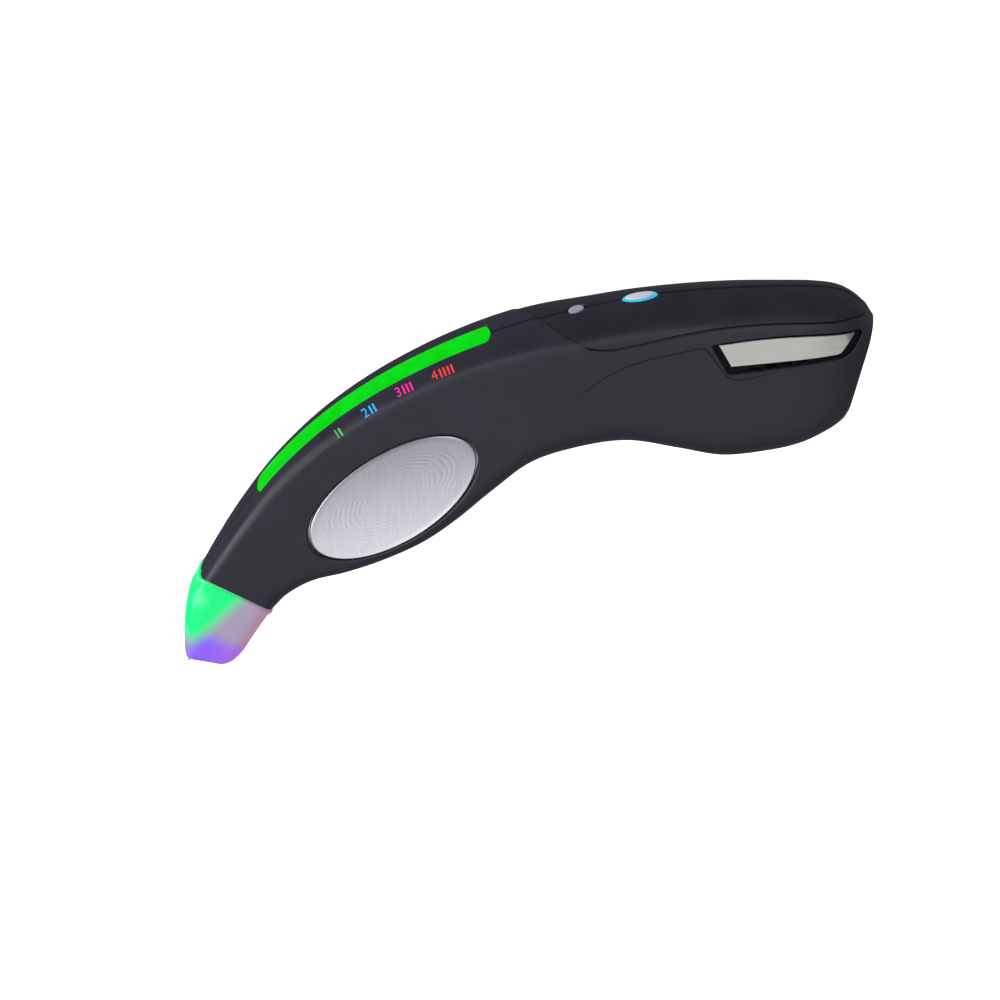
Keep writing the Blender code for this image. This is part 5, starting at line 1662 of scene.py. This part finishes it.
def flat_mark(number):
    """A numeral from Blender's own font, with its row of ticks, as flat faces."""
    curve = bpy.data.curves.new("numeral", "FONT")
    curve.body = str(number)
    curve.size = MARK_SIZE
    item = bpy.data.objects.new("numeral", curve)
    bpy.context.scene.collection.objects.link(item)
    mesh = bpy.data.meshes.new_from_object(item.evaluated_get(bpy.context.evaluated_depsgraph_get()))
    bpy.data.objects.remove(item, do_unlink=True)
    bm = bmesh.new()
    bm.from_mesh(mesh)
    bmesh.ops.remove_doubles(bm, verts=bm.verts, dist=POINTS_MEET)
    end = max(vertex.co.x for vertex in bm.verts) + TICK_PITCH * TICK_GAP_SHARE
    for tick in range(number):
        low = end + TICK_PITCH * tick
        corners = ((low, 0.0), (low + TICK_WIDTH, 0.0), (low + TICK_WIDTH, TICK_HEIGHT), (low, TICK_HEIGHT))
        bm.faces.new([bm.verts.new((x, y, 0.0)) for x, y in corners])
    for _ in range(MARK_CUTS):
        long_edges = [edge for edge in bm.edges if edge.calc_length() > MARK_FACE]
        bmesh.ops.subdivide_edges(bm, edges=long_edges, cuts=1)
        bmesh.ops.triangulate(bm, faces=bm.faces)
    middle = Vector(((end + TICK_PITCH * number) / 2, TICK_HEIGHT / 2, 0.0))
    bmesh.ops.translate(bm, verts=bm.verts, vec=-middle)
    return bm


print("a numeral is", MARK_SIZE * 1000, "mm tall, and its faces are at most", MARK_FACE * 1000, "mm wide")

# %% [markdown]
# ### Pressing the marks on
# Each flat mark is turned along the bar and pressed on to the skin. A second layer just
# under the skin closes it to a solid, so that light can't leak in at its edge.

# %% Printed marks
MARK_RISE = 0.00005
MARK_SINK = 0.00006
PRESSINGS = 14
PAD_REACH = 0.004
INK_FADE_SHARE = 0.85

# Place along and up the pad's plane as shares, the slope of the line and the ink
mark_rows = (
    (-0.4167, -0.1203, 34.0, (0.060, 0.420, 0.085)),
    (-0.3707, -0.0570, 31.0, (0.008, 0.360, 0.800)),
    (-0.3188, 0.0014, 25.0, (0.760, 0.002, 0.270)),
    (-0.2617, 0.0486, 22.0, (0.760, 0.028, 0.022)),
)


def pressed(x, rise, start=0.0, reach=PAD_REACH):
    """The point of the skin that a point of the pad's plane meets, near a starting height."""
    def is_below(y):
        return y * math.cos(CAMERA_TILT) - skin(x, y) * math.sin(CAMERA_TILT) < rise
    return on_skin(x, halved(start - reach, start + reach, is_below, PRESSINGS))


def mark(number, x_share, rise_share, slope, ink):
    """One printed mark, a thin layer on the left shell."""
    center = Vector((LENGTH * x_share, HEIGHT * rise_share, 0.0))
    middle = pressed(center.x, center.y, reach=HEIGHT / 2)
    bm = flat_mark(number)
    turn = Matrix.Rotation(math.radians(slope), 3, "Z")
    base = list(bm.verts)
    spots = []
    for vertex in base:
        plane = center + turn @ vertex.co
        point = pressed(plane.x, plane.y, middle.y)
        spots.append((point, skin_normal(point)))
    # Each vertex carries its number as its x, so that its raised copy can be told
    for index, vertex in enumerate(base):
        vertex.co = (index, 0.0, 0.0)
    made = bmesh.ops.extrude_face_region(bm, geom=bm.faces[:])
    for vertex in [part for part in made["geom"] if isinstance(part, bmesh.types.BMVert)]:
        point, normal = spots[round(vertex.co.x)]
        vertex.co = point + normal * MARK_RISE
    for vertex, (point, normal) in zip(base, spots):
        vertex.co = point - normal * MARK_SINK
    item = make_object("mark_%d" % number, bm)
    faded = [value * INK_FADE_SHARE for value in ink]
    paint = moulded("ink_%d" % number, ink, faded, (0.4, 0.55), strength=0.1)
    return finish_piece(item, "housing", paint, smooth=False)


for index, row in enumerate(mark_rows):
    mark(index + 1, *row)

# %% [markdown]
# ## The nose
# The nose cone is a hollow cap of milky plastic that holds the probe. Its form goes on
# from the housing's, so it is a loft too. Each row below is one cross-section: the share
# of the way at its top and at its bottom, their heights, its width and the two powers
# that round its corners.

# %% The nose's form
NOSE_LENGTH = 0.0223
NOSE_STEPS = 40
nose_shares = (
    (0.000, 0.000, 1.020, -1.000, 1.00, 4.0, 2.2),
    (0.193, 0.202, 1.040, -0.955, 0.98, 3.2, 2.2),
    (0.386, 0.404, 0.945, -0.915, 0.94, 2.8, 2.2),
    (0.583, 0.583, 0.790, -0.885, 0.87, 2.6, 2.2),
    (0.785, 0.740, 0.580, -0.810, 0.70, 2.4, 2.2),
    (0.933, 0.835, 0.400, -0.700, 0.48, 2.3, 2.2),
    (0.990, 0.870, 0.310, -0.580, 0.32, 2.2, 2.2),
)
nose_columns = list(zip(*nose_shares))


def nose_section(position):
    """The nose's cross-section at a share of its way from the joint to the tip."""
    share = [spline(column, position) for column in nose_columns]
    depth = (crest(0.0) - belly(0.0)).length / 2
    root = section(0.0)
    axes = nose_axes()
    top = axes @ Vector((depth * share[2], NOSE_LENGTH * share[0] + CLEARANCE, 0.0))
    bottom = axes @ Vector((depth * share[3], NOSE_LENGTH * share[1] + CLEARANCE, 0.0))
    spread = (top - bottom).length / (2 * depth)
    return (top, bottom, root[2] * share[4], root[3] * spread, share[5], root[5] * spread, share[6])


def nose_rings(inset, start, end, steps=NOSE_STEPS):
    """Rings of the nose between two shares of its way, an inset inside its skin."""
    return [whole_ring(inset_section(nose_section(start + (end - start) * step / steps), inset))
            for step in range(steps + 1)]


tip_top, tip_bottom = nose_section(1.0)[:2]
print("the nose's tip is", round((tip_top - tip_bottom).length * 1000, 1), "mm high")

# %% [markdown]
# ### The nose's light
# A green lamp lights the cap from its upper side and a violet one from its foot. Its
# colour runs from one to the other, and the unlit side keeps the plastic's own pale
# lilac. Light that scatters in milky plastic would take many samples, so the colours are
# laid over each other in the nose's own axes and given off by the surface.

# %% Milky plastic
NOSE_GLOW = 0.58
NOSE_BASE_DIM = 0.62
LIP_HIGHLIGHT_CURVE = 44.0


def glow_patch(tree, vector, place, radii):
    """One at a place and zero at the radii round it."""
    spot = placed(tree, vector, "TEXTURE", Location=place, Scale=radii)
    return ramp_node(tree, length_of(tree, spot), 1.0, 0.0, smooth=True)


def nose_plastic():
    """Milky plastic whose light fades from green at the crest to violet at the tip, with a painted highlight
    along its lip.
    """
    material, tree, shader, point = new_material("nose_plastic", roughness=0.24, Specular_IOR_Level=0.3)
    axes = nose_axes()
    spot = placed(tree, point, "TEXTURE", Location=axes.translation + Vector((0.0, 0.0, HALF_WIDTH)),
                  Rotation=(0.0, 0.0, math.atan2(axes.col[0].y, axes.col[0].x)))
    parts = split(tree, spot)
    across, ahead = parts["X"], parts["Y"]
    lean = math_node(tree, "SUBTRACT", across, times(tree, ahead, 0.30))
    green = times(tree, ramp_node(tree, lean, -0.0032, 0.0022, smooth=True),
                  ramp_node(tree, ahead, 0.0200, 0.0120, smooth=True))
    violet = times(tree, ramp_node(tree, ahead, 0.0095, 0.0150, smooth=True),
                   ramp_node(tree, across, 0.0075, 0.0010, smooth=True))
    # A band just ahead of the joint, bent to follow it, where a painted highlight runs along the lip.
    behind = plus(tree, ahead, times(tree, parts["Z"], parts["Z"], LIP_HIGHLIGHT_CURVE))
    lip = times(tree, ramp_node(tree, behind, 0.0007, 0.0010), ramp_node(tree, behind, 0.0015, 0.0012))
    # Rose low on the unlit side, then violet and magenta, green, a painted highlight along its lip and its
    # brightest spot
    layers = (
        (ramp_node(tree, across, -0.0040, -0.0105, smooth=True), (0.52, 0.23, 0.33)),
        (violet, (0.27, 0.13, 0.95)),
        (times(tree, violet, ramp_node(tree, across, -0.0010, -0.0090)), (0.50, 0.15, 0.72)),
        (green, (0.004, 0.96, 0.24)),
        (times(tree, green, lip), (0.22, 0.98, 0.45)),
        (glow_patch(tree, spot, (0.0084, 0.0040, 0.0085), (0.0034, 0.0036, 0.0050)), (0.11, 0.98, 0.42)),
    )
    color = mix_colors(tree, noise_node(tree, point, 140.0, 2.0), (0.37, 0.31, 0.44), (0.42, 0.35, 0.49))
    for share, tint in layers:
        color = mix_colors(tree, share, color, tint)
    tree.links.new(color, shader.inputs["Emission Color"])
    shader.inputs["Emission Strength"].default_value = NOSE_GLOW
    tree.links.new(mix_colors(tree, NOSE_BASE_DIM, color, (0.0, 0.0, 0.0)), shader.inputs["Base Color"])
    return material


milky_nose = nose_plastic()
print(milky_nose.name, "has", len(milky_nose.node_tree.nodes), "nodes")

# %% [markdown]
# ### The nose cap
# The cap stands a little proud of the shells, with a rounded edge at the joint, and a
# spigot behind it goes into them. The hollow and the two holes at its foot, one for the
# probe and one for the lamp, are cut out last, so that they keep their sharp rims.

# %% Nose cap
NOSE_WALL = 0.0012
NOSE_ROOT_SHARE = 0.06
NOSE_CAVITY_SHARE = 0.95
NOSE_CAVITY_STEPS = 9
NOSE_PROUD = 0.0004
NOSE_EDGE = 0.0005
NOSE_EDGE_SHARE = 0.3
SPIGOT_SHARE = 0.029
PROBE_OFFSET = 0.0020
LAMP_OFFSET = -0.0013
PROBE_HOLE_RADIUS = 0.0007
WINDOW_RADIUS = 0.0018


def nose_cone():
    """The nose cap with its spigot in the shells, its hollow and the holes at its foot."""
    inset = WALL + CLEARANCE
    lap = CLEARANCE
    rings = [joint_ring(inset + NOSE_WALL / 2, lap), joint_ring(CLEARANCE, lap),
             joint_ring(-NOSE_PROUD / 2, lap + NOSE_EDGE * NOSE_EDGE_SHARE),
             joint_ring(-NOSE_PROUD, lap + NOSE_EDGE)]
    rings += nose_rings(0.0, 0.0, 1.0)[2:]
    cone = make_object("nose_cap", bridge(rings))
    neck = [whole_ring(inset_section(section(SPIGOT_SHARE), inset)),
            whole_ring(inset_section(section(0.0), inset)),
            whole_ring(inset_section(nose_section(NOSE_ROOT_SHARE), inset))]
    inset += NOSE_WALL
    hollow = [whole_ring(inset_section(section(SPIGOT_SHARE * 2), inset)),
              whole_ring(inset_section(section(0.0), inset))]
    hollow += nose_rings(NOSE_WALL, NOSE_ROOT_SHARE, NOSE_CAVITY_SHARE, NOSE_CAVITY_STEPS)
    axes = nose_axes()
    ways = bmesh.new()
    for offset, radius in ((PROBE_OFFSET, PROBE_HOLE_RADIUS), (LAMP_OFFSET, WINDOW_RADIUS)):
        turned(moved(axes, x=offset), ((NOSE_LENGTH / 2, radius), (NOSE_LENGTH + OVERRUN, radius)),
               bm=ways, sides=32)
    carve(cone, ("UNION", bridge(neck)), ("DIFFERENCE", bridge(hollow)), ("DIFFERENCE", ways))
    return finish_piece(cone, "housing", milky_nose, ("nose_cone",))


nose_cone()

# %% [markdown]
# ## The probe
# The probe tip is a thin sprung pin that gives way when it meets a stone. It slides in a
# barrel, and a coil spring behind its collar pushes it out. It is turned on a lathe, so
# a stack of rings about its axis is its real way of being made. Its stem stands inside
# the spring and its collar further forward, so that the spring stays clear of both at
# full press.

# %% Probe tip
PROBE_RADIUS = 0.0004
PROBE_END_STEPS = 8
STEM_LENGTH = 0.00125
STEM_PLAY = 0.00008
COLLAR_END = 0.0027
COLLAR_RADIUS = 0.00085
COLLAR_FOOT_RADIUS = 0.0006
COLLAR_EDGE = 0.0002
CLOSED_RADIUS = 0.00004


def seen_along(name, axes):
    """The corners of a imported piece, measured in the pin's axes."""
    inverse = axes.inverted()
    lift = Vector((0.0, 0.0, HALF_WIDTH))
    return [inverse @ (vertex.co - lift) for vertex in nodes[name].data.vertices]


def probe_tip():
    """A polished pin with a stem, a collar and a round end."""
    axes = moved(nose_axes(), x=PROBE_OFFSET)
    reach = [spot.y for spot in seen_along("probe_tip", axes)]
    start, end = min(reach), max(reach)
    stem = min(math.hypot(spot.x, spot.z) for spot in seen_along("probe_spring", axes)) - STEM_PLAY
    collar, neck = start + STEM_LENGTH, start + COLLAR_END
    steps = [(start, stem / 2), (start + stem / 2, stem), (collar, stem), (collar, COLLAR_FOOT_RADIUS),
             (collar + COLLAR_EDGE, COLLAR_RADIUS), (neck - COLLAR_EDGE, COLLAR_RADIUS),
             (neck, COLLAR_FOOT_RADIUS), (neck, PROBE_RADIUS)]
    for step in range(PROBE_END_STEPS + 1):
        angle = math.pi / 2 * step / PROBE_END_STEPS
        radius = max(PROBE_RADIUS * math.cos(angle), CLOSED_RADIUS)
        steps.append((end - PROBE_RADIUS + PROBE_RADIUS * math.sin(angle), radius))
    print("the pin is", round((end - start) * 1000, 1), "mm long")
    item = make_object("probe_pin", turned(axes, steps, sides=24))
    return finish_piece(item, "probe_tip", copper, ("probe_tip",))


probe_tip()

# %% [markdown]
# ## The parts inside
# Boards, lamps, contacts, cells and screws are seen only through an opening. Their packed
# solids have the true form already, so they stay, and each only gets a finish of its own
# in place of the one that it came with.

# %% Dress the inner parts


def dress(material, *names):
    """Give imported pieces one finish."""
    for name in names:
        item = nodes[name]
        item.data.materials.clear()
        item.data.materials.append(material)


def numbered(stem, count):
    """Names with their numbers, from 1 up."""
    return [stem + "_%d" % (number + 1) for number in range(count)]


dress(board_green, "main_board", "nose_board", "button_board", "led_strip")
dress(chip_plastic, "controller_chip", "sounder", "power_switch", "light_switch")
dress(holder_plastic, "probe_holder")
dress(tray_plastic, "battery_tray")
dress(lamp_plastic, "status_lamp", *numbered("bar_lamp", 6))
dress(violet_lamp_plastic, "uv_lamp")
dress(brass, "probe_barrel", "plate_contact_left", "plate_contact_right")
dress(steel, "probe_spring", *numbered("case_screw", 5))
dress(nickel, *numbered("flat_contact", 4), *numbered("spring_contact", 4))
dress(cell_sleeve, *numbered("cell", 4))
print("cell_1 wears", nodes["cell_1"].data.materials[0].name)

# %% [markdown]
# ## Light and floor
# Black plastic shows little but what it mirrors, so the studio draws its form. A sky
# that is bright overhead and dark low down gives the roof its sheen, a long soft band
# along one side draws the highlight along the crest, and one softbox stands by the nose.
# The floor gives off some light of its own, which brings it up to the white of the page,
# and it isn't mirrored in the housing.

# %% Light and floor
FLOOR_SIZE = 6.0
FLOOR_GLOW = 0.9
tester_middle = Vector((-0.02, -0.02, HALF_WIDTH))


def add_floor():
    """A white floor, lit up to the white of the page."""
    bpy.ops.mesh.primitive_plane_add(size=FLOOR_SIZE, location=(0, 0, cad_low.z))
    floor = bpy.context.object
    floor.name = "floor"
    floor.visible_glossy = False
    floor.visible_shadow = False
    material = bpy.data.materials.new("pale_floor")
    material.use_nodes = True
    shader = material.node_tree.nodes["Principled BSDF"]
    shader.inputs["Base Color"].default_value = (0.9, 0.9, 0.9, 1.0)
    shader.inputs["Roughness"].default_value = 0.7
    shader.inputs["Emission Color"].default_value = (1.0, 1.0, 1.0, 1.0)
    shader.inputs["Emission Strength"].default_value = FLOOR_GLOW
    floor.data.materials.append(material)


def add_light(name, place, size, power):
    """A rectangular softbox that faces the middle of the tester."""
    lamp = bpy.data.lights.new(name, "AREA")
    lamp.shape = "RECTANGLE"
    lamp.size, lamp.size_y = size
    lamp.energy = power
    item = bpy.data.objects.new(name, lamp)
    bpy.context.scene.collection.objects.link(item)
    item.location = place
    aim = tester_middle - Vector(place)
    item.rotation_euler = aim.to_track_quat("-Z", "Y").to_euler()


def add_sky():
    """A studio, bright overhead and dark low down, with a long soft light along one side."""
    world = bpy.data.worlds.new("studio")
    world.use_nodes = True
    tree = world.node_tree
    spot = tree.nodes.new("ShaderNodeTexCoord").outputs["Generated"]

    def facing(x, y, z):
        """How far the sky's point lies in a direction, from 1 ahead to -1 behind."""
        dot = tree.nodes.new("ShaderNodeVectorMath")
        dot.operation = "DOT_PRODUCT"
        tree.links.new(spot, dot.inputs[0])
        dot.inputs[1].default_value = Vector((x, y, z)).normalized()
        return dot.outputs["Value"]

    walls = mix_colors(tree, ramp_node(tree, facing(1.0, 0.0, 0.0), -0.65, 0.35),
                       (0.05, 0.05, 0.055), (0.21, 0.21, 0.215))
    overhead = ramp_node(tree, facing(-0.12, -0.15, 0.98), 0.25, 1.0)
    color = mix_colors(tree, overhead, walls, (1.05, 1.05, 1.10))
    height = facing(0.0, 0.0, 1.0)
    band = times(tree, ramp_node(tree, height, 0.46, 0.62, smooth=True),
                 ramp_node(tree, height, 0.84, 0.66, smooth=True),
                 ramp_node(tree, facing(-0.60, 0.75, 0.28), 0.25, 0.75))
    color = mix_colors(tree, band, color, (3.0, 3.0, 3.15))
    glow = ramp_node(tree, facing(-0.97, 0.08, 0.04), 0.86, 0.97, smooth=True)
    color = mix_colors(tree, glow, color, (4.5, 4.5, 4.7))
    tree.links.new(color, tree.nodes["Background"].inputs["Color"])
    bpy.context.scene.world = world


add_floor()
add_sky()
add_light("nose_box", (-0.78, 0.03, 0.63), (0.40, 0.30), 1.2)
print("lights:", [lamp.name for lamp in bpy.data.lights])
